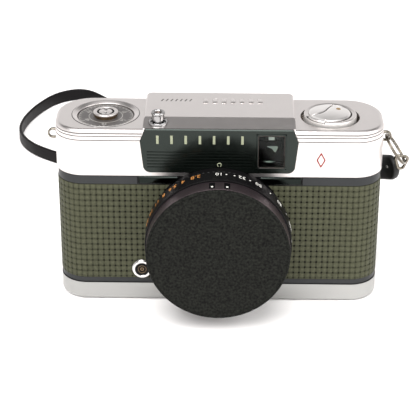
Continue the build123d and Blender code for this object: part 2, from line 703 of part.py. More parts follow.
def back_skin():
    """Textured covering of the back."""
    behind = box(-60, 60, PARTING_Y + GAP, 30, 0, 70)
    return wall(0.0, SKIN_T, SKIN_LOW, BACK_HIGH - 1.3) & behind


def base_screws():
    """Countersunk screws that join the tray to the back shell's feet."""
    screws = []
    for at in SCREWS:
        screw = turned([(0, 0.1), (1.5, 0.1), (0.85, 0.75), (0.85, 2.8), (0, 2.8)], at=(at[0], at[1], 0))
        screw -= Pos(at[0], at[1], 0.1) * Box(2.6, 0.4, 0.6)
        screws.append(screw)
    return Compound(children=screws)


def tripod_bush():
    """Tripod socket, riveted in the tray."""
    bush = post(6.45, 0, 1.0) + post(8.0, 1.0, 1.8) + post(5.2, 1.0, 6.2)
    return bush - post(2.6, -1, 5.0)


def lock_key():
    """Disc of the back lock with its spindle and the tongue on its inner end."""
    key = post(8.6, 0.35, 2.0, KEY) - post(7.0, 0, 1.3, KEY)
    key += box(KEY[0] - 0.9, KEY[0] + 0.9, -7.1, 7.1, 0.45, 1.4)
    key += post(2.4, 1.9, 4.4, KEY)
    key += box(KEY[0] - 7.5, KEY[0] + 7.5, -2.4, 2.4, 4.3, 5.4)
    return key - rod(BAIL_WIRE + FIT, -20, 20, BAIL)


def lock_bail():
    """Fold-out half ring that turns the lock, lying flat in the key's recess."""
    path_r = 5.6
    x, z = BAIL
    arc = ThreePointArc((x, -path_r, z), (x + path_r * 0.7, 0, z), (x, path_r, z))
    section = Plane(origin=arc @ 0, z_dir=arc % 0) * Circle(BAIL_WIRE)
    bail = sweep(section, path=arc)
    for side in (-1, 1):
        bail += rod(BAIL_WIRE, side * (path_r + 0.55) - 0.85, side * (path_r + 0.55) + 0.85, BAIL)
    return bail


def pressure_plate():
    """Plate that keeps the film flat, with its leaf spring riveted behind."""
    plate = box(-11.2, 22.5, 10.6, 11.3, LENS_Z - 15.8, LENS_Z + 15.8)
    plate = fillet(plate.edges().filter_by(Axis.Y), 1.5)
    plate += box(-7, 18.5, 11.2, 11.5, LENS_Z - 1.5, LENS_Z + 1.5)
    for x in (-6, 17.5):
        plate += box(x - 1.2, x + 1.2, 11.3, 11.9, LENS_Z - 1.5, LENS_Z + 1.5)
    return plate


def light_seals():
    """Dark felt strips inside the upper part of the back."""
    strips = [box(x - 9, x + 9, 12.05, 12.7, CAST_TOP - 1.3, CAST_TOP + 0.6) for x in (-31.0, 31.0)]
    return Compound(children=strips)


def rewind_release():
    """Button in the base that frees the sprocket for rewinding."""
    return post(1.9, 0.3, 8.4, RETURN_AT) + post(2.35, 4.6, 5.2, RETURN_AT)


def rewind_release_spring():
    """Return spring of the rewind release."""
    return spring(1.35, 0.35, 8.4, 12.4, 4, RETURN_AT)


# ---- strap ------------------------------------------------------------------------------
RING_MEAN_R = 5.9
RING_WIRE = 0.55
RING_DOWN = Vector(0.57, 0.0, -0.82)
TRIANGLE = [(60.1, 1.4, 49.4), (64.9, 1.2, 48.8), (62.3, 3.6, 40.9)]
TRIANGLE_WIRE = 0.55
TAB_START = Vector(62.8, 2.0, 44.3)
TAB_END = Vector(52.9, 17.6, 37.4)
TAB_W = 9.4
TAB_T = 3.0

STRAP_ROUTE = [
    (51.6, 17.9, 37.0), (45.5, 24.6, 31.0), (35.5, 31.0, 21.6), (22.5, 37.0, 11.5), (6.5, 45.5, 4.6),
    (-12.0, 56.0, 2.7), (-31.5, 69.5, 2.7), (-51.0, 85.0, 2.7), (-67.6, 95.6, 2.7),
    (-79.5, 104.6, 2.7), (-86.3, 117.2, 2.7), (-86.0, 131.5, 2.7), (-81.5, 146.5, 2.7),
    (-74.2, 159.6, 2.7), (-62.5, 164.8, 2.7), (-51.5, 153.5, 2.7), (-40.5, 137.0, 2.7),
    (-24.5, 117.5, 2.7), (-6.0, 97.0, 2.7), (13.0, 75.0, 3.4), (30.0, 53.5, 10.5), (42.0, 37.5, 21.0),
    (49.3, 25.6, 31.4), (53.1, 18.9, 37.0),
]


def frame_at(origin, along, up=(0, 0, 1)):
    """A plane across a direction, with its Y axis as near to up as it can be."""
    along = Vector(along).normalized()
    side = Vector(up).cross(along).normalized()
    return Plane(origin=origin, x_dir=side, z_dir=along)


def split_ring():
    """Double turn ring through the strap lug."""
    start = Vector(LUG_X, 0, LUG_Z)
    down = RING_DOWN.normalized()
    centre = start + down * RING_MEAN_R
    across = Vector(0, 1, 0).cross(down)
    body = Torus(RING_MEAN_R, RING_WIRE)
    return Plane(origin=centre, x_dir=down, z_dir=across) * body


def triangle_ring():
    """Triangular ring of round wire between the split ring and the strap's end."""
    path = FilletPolyline(*TRIANGLE, radius=2 * TRIANGLE_WIRE, close=True)
    section = Plane(origin=path @ 0, z_dir=path % 0) * Circle(TRIANGLE_WIRE)
    return sweep(section, path=path)


def strap_tab():
    """Moulded tab that joins both ends of the strap to the triangular ring."""
    along = TAB_END - TAB_START
    plane = frame_at(TAB_START, along)
    flat = Plane(origin=(TAB_START + TAB_END) * 0.5, x_dir=along.normalized(), z_dir=plane.x_dir)
    body = extrude(SlotOverall(along.length, TAB_W), TAB_T / 2, both=True)
    body = fillet(body.edges(), 1.0)
    return flat * body


def wrist_strap():
    """Flat strap standing on its edge, from the tab round the loop and back to it."""
    points = [Vector(*p) for p in STRAP_ROUTE]
    radii = []
    for before, here, after in zip(points, points[1:], points[2:]):
        first, second = here - before, after - here
        turn = radians(first.get_angle(second))
        radii.append(0.45 * min(first.length, second.length) / tan(turn / 2))
    print("strap radii", [round(r, 1) for r in radii])
    path = FilletPolyline(*points, radius=radii)
    section = frame_at(path @ 0, path % 0) * Rectangle(STRAP_T, STRAP_W)
    strap = sweep(section, path=path)
    print("strap length", round(path.length, 1), "volume", round(strap.volume, 1),
          "expected", round(path.length * STRAP_T * STRAP_W, 1))
    return strap


# ---- write everything -------------------------------------------------------------------
PARTS = {
    "body_casting": body_casting,
    "lens_board": lens_board,
    "front_skin_left": lambda: front_skin(-1),
    "front_skin_right": lambda: front_skin(1),
    "film_gate": film_gate,
    "top_cover": top_cover,
    "fascia": fascia,
    "finder_bezel": finder_bezel,
    "finder_window": finder_window,
    "finder_tunnel": finder_tunnel,
    "finder_objective": finder_objective,
    "eyepiece_lens": eyepiece_lens,
    "eyepiece_ring": eyepiece_ring,
    "counter_cup": counter_cup,
    "counter_dial": counter_dial,
    "counter_knob": counter_knob,
    "release_collar": release_collar,
    "release_button": release_button,
    "release_spring": release_spring,
    "advance_wheel": advance_wheel,
    "takeup_spool": takeup_spool,
    "sprocket": sprocket,
    "rewind_cup": rewind_cup,
    "rewind_bush": rewind_bush,
    "rewind_knob": rewind_knob,
    "rewind_crank": rewind_crank,
    "rewind_shaft": rewind_shaft,
    "lens_barrel": lens_barrel,
    "speed_ring": speed_ring,
    "focus_ring": focus_ring,
    "lens_cap": lens_cap,
    "cell_window": cell_window,
    "light_cell": light_cell,
    "front_lens_cell": front_lens_cell,
    "front_element": front_element,
    "rear_element": rear_element,
    "shutter_case": shutter_case,
    "shutter_blade_left": lambda: shutter_blade(1, -22.6),
    "shutter_blade_right": lambda: shutter_blade(-1, -22.0),
    "aperture_blade_left": lambda: aperture_blade(-1, -21.2),
    "aperture_blade_right": lambda: aperture_blade(1, -20.6),
    "meter_case": meter_case,
    "meter_needle": meter_needle,
    "sync_socket": sync_socket,
    "strap_lugs": strap_lugs,
    "base_plate": base_plate,
    "back_cover": back_cover,
    "back_skin": back_skin,
    "base_screws": base_screws,
    "tripod_bush": tripod_bush,
    "lock_key": lock_key,
    "lock_bail": lock_bail,
    "pressure_plate": pressure_plate,
    "light_seals": light_seals,
    "rewind_release": rewind_release,
    "rewind_release_spring": rewind_release_spring,
    "split_ring": split_ring,
    "triangle_ring": triangle_ring,
    "strap_tab": strap_tab,
    "wrist_strap": wrist_strap,
}

for node, make in PARTS.items():
    save(make(), node)
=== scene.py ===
"""Looks of the half frame camera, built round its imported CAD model.

Lengths below are in millimetres in the model's own frame: X along the body, Y from the lens
side to the back, Z up. Every mesh is scaled to metres once, when its object is made.
"""

from math import cos, hypot, pi, radians, sin

import bmesh
import bpy
from mathutils import Matrix, Vector


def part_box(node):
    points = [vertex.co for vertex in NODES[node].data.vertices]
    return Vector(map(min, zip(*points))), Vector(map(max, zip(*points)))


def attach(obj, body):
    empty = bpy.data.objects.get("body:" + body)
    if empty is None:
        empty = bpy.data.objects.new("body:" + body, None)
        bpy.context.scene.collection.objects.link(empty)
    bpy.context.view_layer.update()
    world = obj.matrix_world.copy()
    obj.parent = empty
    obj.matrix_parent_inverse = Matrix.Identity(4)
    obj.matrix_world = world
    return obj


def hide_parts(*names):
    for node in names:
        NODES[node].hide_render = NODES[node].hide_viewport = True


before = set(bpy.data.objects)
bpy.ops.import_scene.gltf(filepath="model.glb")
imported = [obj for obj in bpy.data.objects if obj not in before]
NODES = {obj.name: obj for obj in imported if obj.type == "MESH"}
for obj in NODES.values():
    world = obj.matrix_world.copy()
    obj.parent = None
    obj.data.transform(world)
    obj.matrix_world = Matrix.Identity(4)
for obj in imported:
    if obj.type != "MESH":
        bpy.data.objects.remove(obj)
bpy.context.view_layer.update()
MM = 0.001


def span(node):
    """Lowest and highest corner of a CAD node, in millimetres."""
    low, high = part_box(node)
    return low / MM, high / MM


# ---- sizes taken from the frame ----------------------------------------------------------
RING_LOW, RING_HIGH = span("speed_ring")
LENS_Z = (RING_LOW.z + RING_HIGH.z) / 2
RING_R = (RING_HIGH.z - RING_LOW.z) / 2
FOCUS_LOW, FOCUS_HIGH = span("focus_ring")
FOCUS_R = (FOCUS_HIGH.z - FOCUS_LOW.z) / 2
CAP_LOW, _ = span("lens_cap")
SKIN_LOW, SKIN_HIGH = span("front_skin_left")
BACK_LOW, BACK_HIGH = span("back_skin")
HALF_W = -SKIN_LOW.x
HALF_T = -SKIN_LOW.y
FRONT_R, BACK_R = 9.5, 12.0
HUMP = span("top_cover")[1].z
BEZEL_LOW, BEZEL_HIGH = span("finder_bezel")
CUP_LOW, CUP_HIGH = span("counter_cup")
COUNTER = (CUP_LOW + CUP_HIGH) / 2
KNOB_LOW, KNOB_HIGH = span("rewind_knob")
REWIND = (KNOB_LOW + KNOB_HIGH) / 2
REWIND_R = (KNOB_HIGH.x - KNOB_LOW.x) / 2
RELEASE_LOW, RELEASE_HIGH = span("release_button")
RELEASE = (RELEASE_LOW + RELEASE_HIGH) / 2
SYNC_LOW, SYNC_HIGH = span("sync_socket")
SYNC = (SYNC_LOW + SYNC_HIGH) / 2


# ---- camera, light and floor -------------------------------------------------------------
def make_camera():
    """Camera at the photograph's angle: nearly square on, from 27 degrees above."""
    azimuth, elevation, roll = radians(0.48), radians(27.0), radians(0.33)
    distance, focal = 528.6, 131.4
    back = Vector((sin(azimuth) * cos(elevation), -cos(azimuth) * cos(elevation), sin(elevation)))
    right = (-back).cross(Vector((0, 0, 1))).normalized()
    up = right.cross(-back)
    right, up = right * cos(roll) + up * sin(roll), up * cos(roll) - right * sin(roll)
    data = bpy.data.cameras.new("camera")
    data.sensor_width, data.lens = 36.0, focal
    data.shift_x, data.shift_y = -0.0269, -0.0058
    data.clip_start, data.clip_end = 0.01, 20.0
    camera = bpy.data.objects.new("camera", data)
    bpy.context.scene.collection.objects.link(camera)
    turn = Matrix((right, up, back)).transposed().to_4x4()
    camera.matrix_world = Matrix.Translation((Vector((0, 0, 30)) + back * distance) * MM) @ turn
    bpy.context.scene.camera = camera


def area_light(name, place, target, size, power):
    """Square soft light in metres that looks at a point."""
    data = bpy.data.lights.new(name, "AREA")
    data.shape, data.size, data.energy = "SQUARE", size, power
    light = bpy.data.objects.new(name, data)
    light.location = place
    light.rotation_mode = "QUATERNION"
    light.rotation_quaternion = (Vector(target) - Vector(place)).to_track_quat("-Z", "Y")
    bpy.context.scene.collection.objects.link(light)


def make_studio():
    """White sweep, bright near the horizon and greyer overhead, with two soft lights."""
    bpy.context.scene.view_settings.view_transform = "Standard"
    world = bpy.data.worlds.new("studio")
    bpy.context.scene.world = world
    world.use_nodes = True
    tree = world.node_tree
    background = tree.nodes["Background"]
    coords = tree.nodes.new("ShaderNodeTexCoord")
    split = tree.nodes.new("ShaderNodeSeparateXYZ")
    ramp = tree.nodes.new("ShaderNodeValToRGB")
    tree.links.new(coords.outputs["Generated"], split.inputs[0])
    tree.links.new(split.outputs["Z"], ramp.inputs[0])
    tree.links.new(ramp.outputs[0], background.inputs["Color"])
    stops = [(0.0, 0.82), (0.51, 0.80), (0.60, 0.22), (0.66, 0.04), (0.80, 0.03), (0.88, 0.50),
             (1.0, 0.80)]
    elements = ramp.color_ramp.elements
    while len(elements) < len(stops):
        elements.new(0.5)
    for element, (place, grey) in zip(elements, stops):
        element.position, element.color = place, (grey, grey * 0.985, grey * 0.98, 1)
    background.inputs["Strength"].default_value = 1.25
    area_light("key_light", (-0.2, -0.58, 0.97), (0, 0, 0.03), 1.0, 22.0)
    area_light("fill_light", (0.75, -0.35, 0.55), (0, 0, 0.03), 0.7, 6.0)
    floor_mesh = bmesh.new()
    bmesh.ops.create_grid(floor_mesh, x_segments=1, y_segments=1, size=2.5)
    mesh = bpy.data.meshes.new("floor")
    floor_mesh.to_mesh(mesh)
    floor_mesh.free()
    floor = bpy.data.objects.new("floor", mesh)
    bpy.context.scene.collection.objects.link(floor)
    finish("floor_paper", (246, 244, 243), 0.9, vary=0.01, grain=(900, 0.00002))
    mesh.materials.append(M["floor_paper"])


# ---- materials ---------------------------------------------------------------------------
def linear(colour):
    """Display colour of 0 to 255 as linear light."""
    values = [c / 255 for c in colour]
    return tuple(v / 12.92 if v <= 0.04045 else ((v + 0.055) / 1.055) ** 2.4 for v in values) + (1,)


M = {}


def finish(name, colour, rough, metal=0.0, vary=0.1, vary_scale=90, grain=None, stretch=(1, 1, 1),
           sheen=0.0, specular=0.5, dark_by=None, dark=(20, 20, 18), rough_vary=0.05,
           contrast=1.0, tint=(1, 1, 1)):
    """Procedural material, filed in M: colour and roughness that vary softly, and a bumped grain.

    vary_scale and the grain's scale are per metre, the grain's depth is in metres. dark_by names
    a mesh attribute that blends the colour to dark, as painted shade. contrast sharpens the cloudy
    variation, and tint colours the reflections.
    """
    mat = M[name] = bpy.data.materials.new(name)
    mat.use_nodes = True
    nodes, links = mat.node_tree.nodes, mat.node_tree.links
    shader = nodes["Principled BSDF"]
    shader.inputs["Metallic"].default_value = metal
    shader.inputs["Specular IOR Level"].default_value = specular
    shader.inputs["Specular Tint"].default_value = tint + (1,)
    shader.inputs["Sheen Weight"].default_value = sheen
    coords = nodes.new("ShaderNodeTexCoord")
    mapping = nodes.new("ShaderNodeMapping")
    mapping.inputs["Scale"].default_value = stretch
    links.new(coords.outputs["Object"], mapping.inputs[0])

    def noise(scale, detail=3.0):
        node = nodes.new("ShaderNodeTexNoise")
        node.inputs["Scale"].default_value = scale
        node.inputs["Detail"].default_value = detail
        links.new(mapping.outputs[0], node.inputs["Vector"])
        return node.outputs["Fac"]

    def mix(factor, first, second):
        node = nodes.new("ShaderNodeMix")
        node.data_type = "RGBA"
        for socket, value in ((node.inputs["Factor"], factor), (node.inputs["A"], first),
                              (node.inputs["B"], second)):
            if isinstance(value, bpy.types.NodeSocket):
                links.new(value, socket)
            else:
                socket.default_value = value
        return node.outputs["Result"]

    def stretched(value, low, high, first, last):
        node = nodes.new("ShaderNodeMapRange")
        for socket, number in (("From Min", low), ("From Max", high), ("To Min", first), ("To Max", last)):
            node.inputs[socket].default_value = number
        links.new(value, node.inputs["Value"])
        return node.outputs[0]

    base = linear(colour)
    shade = tuple(c * (1 - vary) for c in base[:3]) + (1,)
    light = tuple(min(1.0, c * (1 + vary)) for c in base[:3]) + (1,)
    cloud = stretched(noise(vary_scale), 0.5 - 0.5 / contrast, 0.5 + 0.5 / contrast, 0.0, 1.0)
    result = mix(cloud, shade, light)
    if dark_by:
        attribute = nodes.new("ShaderNodeAttribute")
        attribute.attribute_name = dark_by
        result = mix(attribute.outputs["Fac"], result, linear(dark))
    links.new(result, shader.inputs["Base Color"])
    spread = stretched(noise(vary_scale * 2.3), 0.3, 0.7, max(0.02, rough - rough_vary), rough + rough_vary)
    links.new(spread, shader.inputs["Roughness"])
    if grain:
        bump = nodes.new("ShaderNodeBump")
        bump.inputs["Distance"].default_value = grain[1]
        bump.inputs["Strength"].default_value = 0.8
        links.new(noise(grain[0], 4.0), bump.inputs["Height"])
        links.new(bump.outputs[0], shader.inputs["Normal"])


def glass(name, colour, rough=0.02, ior=1.5, level=0.5):
    """Clear or coated glass with faint smears in its polish."""
    finish(name, colour, rough + 0.02, vary=0.03, rough_vary=0.015)
    shader = M[name].node_tree.nodes["Principled BSDF"]
    shader.inputs["Transmission Weight"].default_value = 1.0
    shader.inputs["IOR"].default_value = ior
    shader.inputs["Specular IOR Level"].default_value = level


finish("satin_chrome", (222, 217, 215), 0.31, 1.0, vary=0.025, vary_scale=160, grain=(5200, 0.000003),
    rough_vary=0.015)
finish("bright_chrome", (214, 212, 211), 0.14, 1.0, vary=0.02, grain=(3000, 0.000002))
finish("release_chrome", (158, 157, 157), 0.13, 1.0, vary=0.04, vary_scale=300, grain=(3000, 0.000003))
finish("brushed", (176, 170, 166), 0.26, 1.0, vary=0.09, stretch=(1, 1, 14), grain=(2600, 0.00001))
finish("nickel", (128, 122, 112), 0.14, 1.0, vary=0.1, vary_scale=500, grain=(1500, 0.000008))
finish("steel", (166, 163, 160), 0.32, 1.0, vary=0.06, grain=(4200, 0.000008))
finish("casting", (54, 55, 56), 0.42, 0.75, vary=0.12, specular=0.3, grain=(1500, 0.00003))
finish("strip", (54, 55, 56), 0.36, 0.8, vary=0.06, specular=0.3, grain=(2500, 0.00001))
finish("brass", (186, 150, 92), 0.28, 1.0, vary=0.1, grain=(2400, 0.00001))
finish("base_metal", (168, 168, 166), 0.34, 1.0, vary=0.03, vary_scale=120, grain=(4200, 0.000012))
finish("enamel", (12, 12, 13), 0.2, vary=0.2, specular=0.25, grain=(1800, 0.00001))
finish("anodised", (11, 10, 11), 0.4, vary=0.15, specular=0.14, grain=(3000, 0.000008))
finish("focus_black", (84, 74, 77), 0.34, 0.85, vary=0.08, vary_scale=300, specular=0.3, stretch=(1, 20,
    1), grain=(1700, 0.00001))
finish("fascia", (7, 10, 8), 0.18, vary=0.1, specular=0.4, tint=(0.86, 1.0, 0.92), grain=(700, 0.00001))
finish("cap", (19, 20, 17), 0.7, vary=0.95, vary_scale=1250, specular=0.1, grain=(1300, 0.0003),
    rough_vary=0.1, contrast=2.6)
# painted shade: the grained covering darkens by its mesh layer of shade in the pits, lines and edges of its
# grain
finish("grained", (71, 72, 56), 0.5, vary=0.2, vary_scale=1100, specular=0.1, grain=(1500, 0.00008),
    dark_by="grain_shade", dark=(7, 7, 1), contrast=1.8)
finish("dial", (96, 93, 92), 0.42, 0.6, vary=0.14, vary_scale=260, grain=(2200, 0.00001))
finish("felt", (20, 20, 20), 0.95, vary=0.3, sheen=0.4, grain=(6000, 0.0001))
finish("strap", (13, 11, 12), 0.46, vary=0.16, vary_scale=150, specular=0.13, grain=(1900, 0.00004))
finish("tab", (16, 16, 17), 0.42, vary=0.15, specular=0.4, grain=(1600, 0.00004))
finish("white_paint", (205, 203, 197), 0.5, vary=0.05, grain=(4000, 0.00001))
finish("cream_paint", (138, 142, 118), 0.45, vary=0.06, grain=(4000, 0.00001))
finish("orange_paint", (176, 118, 60), 0.5, vary=0.08, grain=(4000, 0.00001))
finish("red_paint", (128, 36, 30), 0.5, vary=0.08, grain=(4000, 0.00001))
# black for joints, holes and the insulator, also used for the painted shadow line under the top cover's edge
finish("black_fill", (12, 12, 12), 0.7, vary=0.2, specular=0.2, grain=(3000, 0.00002))
finish("deep_black", (5, 5, 6), 0.8, vary=0.2, specular=0.05, grain=(3000, 0.00002))
# pale colour for the painted reflections inside the finder window
finish("painted_reflection_white", (206, 208, 204), 0.6, vary=0.06, vary_scale=400, grain=(2400, 0.00002))
# grey for the engraved ticks, also used as painted shade in the cover's grooves
finish("grey_fill_and_groove_shade", (84, 82, 80), 0.6, vary=0.1, grain=(3000, 0.00002))
finish("blued", (38, 39, 44), 0.34, 0.9, vary=0.12, grain=(3000, 0.00001))
finish("plastic", (12, 12, 12), 0.42, vary=0.12, specular=0.2, grain=(2500, 0.00002))
finish("cell", (60, 38, 26), 0.25, 0.4, vary=0.35, vary_scale=900, grain=(900, 0.00002))
finish("aged_brass", (126, 108, 86), 0.3, 1.0, vary=0.2, vary_scale=700, grain=(2400, 0.00001))
finish("dark_steel", (92, 84, 80), 0.3, 1.0, vary=0.15, grain=(3000, 0.00001))
finish("black_chrome", (34, 38, 36), 0.12, 1.0, vary=0.04, grain=(3000, 0.000004))
finish("pearl_chrome", (244, 241, 239), 0.34, 1.0, vary=0.03, vary_scale=160, grain=(4200, 0.00001))
finish("knob_chrome", (196, 193, 190), 0.42, 0.55, vary=0.05, stretch=(1, 1, 10), grain=(2200, 0.000008))
glass("window", (190, 200, 194), ior=1.2, level=0.2)
finish("dial_mark", (150, 147, 143), 0.5, vary=0.1, grain=(3000, 0.00001))
glass("glass", (236, 242, 240))
glass("coated_glass", (196, 206, 226), ior=1.62)
glass("bead_glass", (226, 230, 226), rough=0.04)


# ---- mesh helpers ------------------------------------------------------------------------
def add_piece(name, bm, body, material, replaces=(), angle=32, at=None):
    """Turns a bmesh in millimetres into a piece that rides on a body."""
    if at is not None:
        bmesh.ops.translate(bm, verts=bm.verts, vec=at)
    bmesh.ops.recalc_face_normals(bm, faces=bm.faces)
    mesh = bpy.data.meshes.new(name)
    bm.to_mesh(mesh)
    bm.free()
    mesh.transform(Matrix.Scale(MM, 4))
    add_mesh(name, mesh, body, material, replaces, angle)


def add_mesh(name, mesh, body, material, replaces=(), angle=32):
    """Links a finished mesh in metres as a piece with smooth faces and sharp edges."""
    for polygon in mesh.polygons:
        polygon.use_smooth = True
    mesh.set_sharp_from_angle(angle=radians(angle))
    mesh.materials.clear()
    mesh.materials.append(M[material])
    piece = bpy.data.objects.new(name, mesh)
    bpy.context.scene.collection.objects.link(piece)
    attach(piece, body)
    if replaces:
        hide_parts(*replaces)
    return piece


def drawn(curve):
    """The shape that a curve or a text draws, as a bmesh. The curve is removed."""
    holder = bpy.data.objects.new(curve.name, curve)
    bpy.context.scene.collection.objects.link(holder)
    bpy.context.view_layer.update()
    mesh = bpy.data.meshes.new_from_object(holder.evaluated_get(bpy.context.evaluated_depsgraph_get()))
    bpy.data.objects.remove(holder)
    bpy.data.curves.remove(curve)
    bm = bmesh.new()
    bm.from_mesh(mesh)
    bpy.data.meshes.remove(mesh)
    return bm


def skin(bm, rows, closed=True, ends=False):
    """Adds faces between rows of vertices, and returns them.

    closed joins each row's last vertex to its first, and ends also fills the first and last row.
    """
    count = len(rows[0])
    faces = []
    for first, second in zip(rows, rows[1:]):
        for k in range(count if closed else count - 1):
            m = (k + 1) % count
            faces.append(bm.faces.new([first[k], first[m], second[m], second[k]]))
    if ends:
        bm.faces.new(rows[0])
        bm.faces.new(rows[-1])
    return faces


def fill_holes(bm):
    """Fills every open boundary of bm."""
    bmesh.ops.holes_fill(bm, edges=[e for e in bm.edges if e.is_boundary], sides=0)


def rounded(points, radius, steps=4, closed=False):
    """A polyline with its corners turned into small curves; radius is one number or a list."""
    count = len(points)
    out = []
    for i, here in enumerate(points):
        r = radius[i] if isinstance(radius, (list, tuple)) else radius
        inside = closed or 0 < i < count - 1
        if not inside or r <= 0:
            out.append(tuple(here))
            continue
        p = Vector(here)
        to_before = Vector(points[i - 1]) - p
        to_after = Vector(points[(i + 1) % count]) - p
        reach = min(r, to_before.length * 0.49, to_after.length * 0.49)
        a = p + to_before.normalized() * reach
        b = p + to_after.normalized() * reach
        for k in range(steps + 1):
            t = k / steps
            out.append(tuple(a * (1 - t) ** 2 + p * 2 * t * (1 - t) + b * t * t))
    return out


def turned(profile, steps=96, axis="Z", start=0.0, end=360.0):
    """A surface of revolution from a closed profile of radius and height pairs."""
    bm = bmesh.new()
    whole = abs(end - start - 360) < 1e-6
    turns = steps if whole else steps + 1
    rows = []
    for i in range(turns):
        angle = radians(start + (end - start) * i / steps)
        row = []
        for r, h in profile:
            x, y = r * cos(angle), r * sin(angle)
            row.append(bm.verts.new((x, y, h) if axis == "Z" else (x, h, y)))
        rows.append(row)
    for i in range(turns if whole else turns - 1):
        j = (i + 1) % turns
        for k in range(len(profile)):
            m = (k + 1) % len(profile)
            corner = [rows[i][k], rows[j][k], rows[j][m], rows[i][m]]
            if profile[k][0] < 1e-9:
                corner.remove(rows[j][k])
            if profile[m][0] < 1e-9:
                corner.remove(rows[i][m])
            if len(corner) > 2:
                bm.faces.new(corner)
    bmesh.ops.remove_doubles(bm, verts=bm.verts, dist=1e-5)
    return bm


def block(low, high, bevel=0.0, segments=2, turn=Matrix.Identity(4)):
    """A block with rounded edges between two corners."""
    low, high = Vector(low), Vector(high)
    part = bmesh.new()
    bmesh.ops.create_cube(part, size=1.0)
    bmesh.ops.scale(part, vec=high - low, verts=part.verts)
    if bevel:
        bmesh.ops.bevel(part, geom=part.edges[:], offset=bevel, segments=segments, affect="EDGES",
                        profile=0.5)
    part.transform(Matrix.Translation((low + high) / 2) @ turn)
    return part


def join(bm, part, matrix=None):
    """Moves the contents of part into bm."""
    if matrix is not None:
        part.transform(matrix)
    mesh = bpy.data.meshes.new("joined")
    part.to_mesh(mesh)
    part.free()
    bm.from_mesh(mesh)
    bpy.data.meshes.remove(mesh)


def prism_of(points, low, high, bevel=0.0):
    """A flat outline in X and Y between two heights, with its upper and lower rims rounded."""
    part = bmesh.new()
    base = [part.verts.new((x, y, low)) for x, y in points]
    face = part.faces.new(base)
    made = bmesh.ops.extrude_face_region(part, geom=[face])
    moved = [v for v in made["geom"] if isinstance(v, bmesh.types.BMVert)]
    bmesh.ops.translate(part, verts=moved, vec=(0, 0, high - low))
    bmesh.ops.recalc_face_normals(part, faces=part.faces)
    if bevel:
        rims = [e for e in part.edges if abs(e.verts[0].co.z - e.verts[1].co.z) < 1e-9]
        bmesh.ops.bevel(part, geom=rims, offset=bevel, segments=2, affect="EDGES", profile=0.5)
    return part


def add_tube(bm, points, radius, sides=12):
    """Adds a round wire along points, kept free of twist."""
    last = len(points) - 1
    points = [Vector(p) for p in points]
    side = None
    rows = []
    for i, p in enumerate(points):
        along = (points[min(i + 1, last)] - points[max(i - 1, 0)]).normalized()
        if side is None:
            side = along.orthogonal().normalized()
        side = (side - along * side.dot(along)).normalized()
        other = along.cross(side)
        rows.append([bm.verts.new(p + side * radius * cos(2 * pi * k / sides)
                                  + other * radius * sin(2 * pi * k / sides)) for k in range(sides)])
    skin(bm, rows, ends=True)


def lettering(text, size, thick=0.06):
    """Generic figures as a bmesh in X and Y, centred, in millimetres."""
    curve = bpy.data.curves.new("figures", "FONT")
    curve.body = text
    curve.size = size
    curve.align_x, curve.align_y = "CENTER", "CENTER"
    curve.extrude = thick / 2
    curve.resolution_u = 3
    return drawn(curve)


def on_ring(part, angle, depth, radius, flip=True):
    """Bends a flat part onto a ring round the lens, angle in degrees clockwise from the top.

    The part's X runs round the ring and its Y along the ring's depth. flip turns it to be read
    from behind the camera.
    """
    for vert in part.verts:
        x, y, z = vert.co
        if flip:
            x, y = -x, -y
        turn = radians(angle) + x / radius
        r = radius + z
        vert.co = (r * sin(turn), depth + y, LENS_Z + r * cos(turn))
    return part


# ---- the plan outline --------------------------------------------------------------------
def plan_path(side, back=False):
    """Points of the body's outline on one side as a function of the length along it.

    side is -1 or 1. The path starts in the middle of the front, or of the back, and runs
    round the corner and along the side. Returns point, outward normal at a length.
    """
    radius = BACK_R if back else FRONT_R
    y0 = HALF_T if back else -HALF_T
    sign = -1 if back else 1
    straight = HALF_W - radius
    arc = radius * pi / 2

    def at(length, inset=0.0):
        if length <= straight:
            point, normal = Vector((length, y0)), Vector((0, -sign))
        elif length <= straight + arc:
            turn = (length - straight) / radius
            normal = Vector((sin(turn), -sign * cos(turn)))
            centre = Vector((straight, y0 + sign * radius))
            point = centre + normal * radius
        else:
            point = Vector((HALF_W, y0 + sign * (radius + length - straight - arc)))
            normal = Vector((1, 0))
        point = point - normal * inset
        return Vector((side * point.x, point.y)), Vector((side * normal.x, normal.y))

    return at, straight + arc


# ---- strap -------------------------------------------------------------------------------
STRAP_W, STRAP_T = 5.2, 1.2
STRAP_ROUTE = [
    (51.6, 17.9, 37.0), (45.5, 24.6, 31.0), (35.5, 31.0, 21.6), (22.5, 37.0, 11.5), (6.5, 45.5, 4.6),
    (-12.0, 56.0, 2.7), (-31.5, 69.5, 2.7), (-51.0, 85.0, 2.7), (-67.6, 95.6, 2.7),
    (-79.5, 104.6, 2.7), (-86.3, 117.2, 2.7), (-86.0, 131.5, 2.7), (-81.5, 146.5, 2.7),
    (-74.2, 159.6, 2.7), (-62.5, 164.8, 2.7), (-51.5, 153.5, 2.7), (-40.5, 137.0, 2.7),
    (-24.5, 117.5, 2.7), (-6.0, 97.0, 2.7), (13.0, 75.0, 3.4), (30.0, 53.5, 10.5), (42.0, 37.5, 21.0),
    (49.3, 25.6, 31.4), (53.1, 18.9, 37.0),
]


def route_line(route):
    """Points along a smooth NURBS spline with the route as its control points, in metres."""
    curve = bpy.data.curves.new("strap_route", "CURVE")
    curve.dimensions = "3D"
    curve.resolution_u = 8
    spline = curve.splines.new("NURBS")
    spline.points.add(len(route) - 1)
    for point, place in zip(spline.points, route):
        point.co = (place[0] * MM, place[1] * MM, place[2] * MM, 1)
    spline.order_u = 3
    spline.use_endpoint_u = True
    bm = drawn(curve)
    return [v.co.copy() for v in bm.verts]


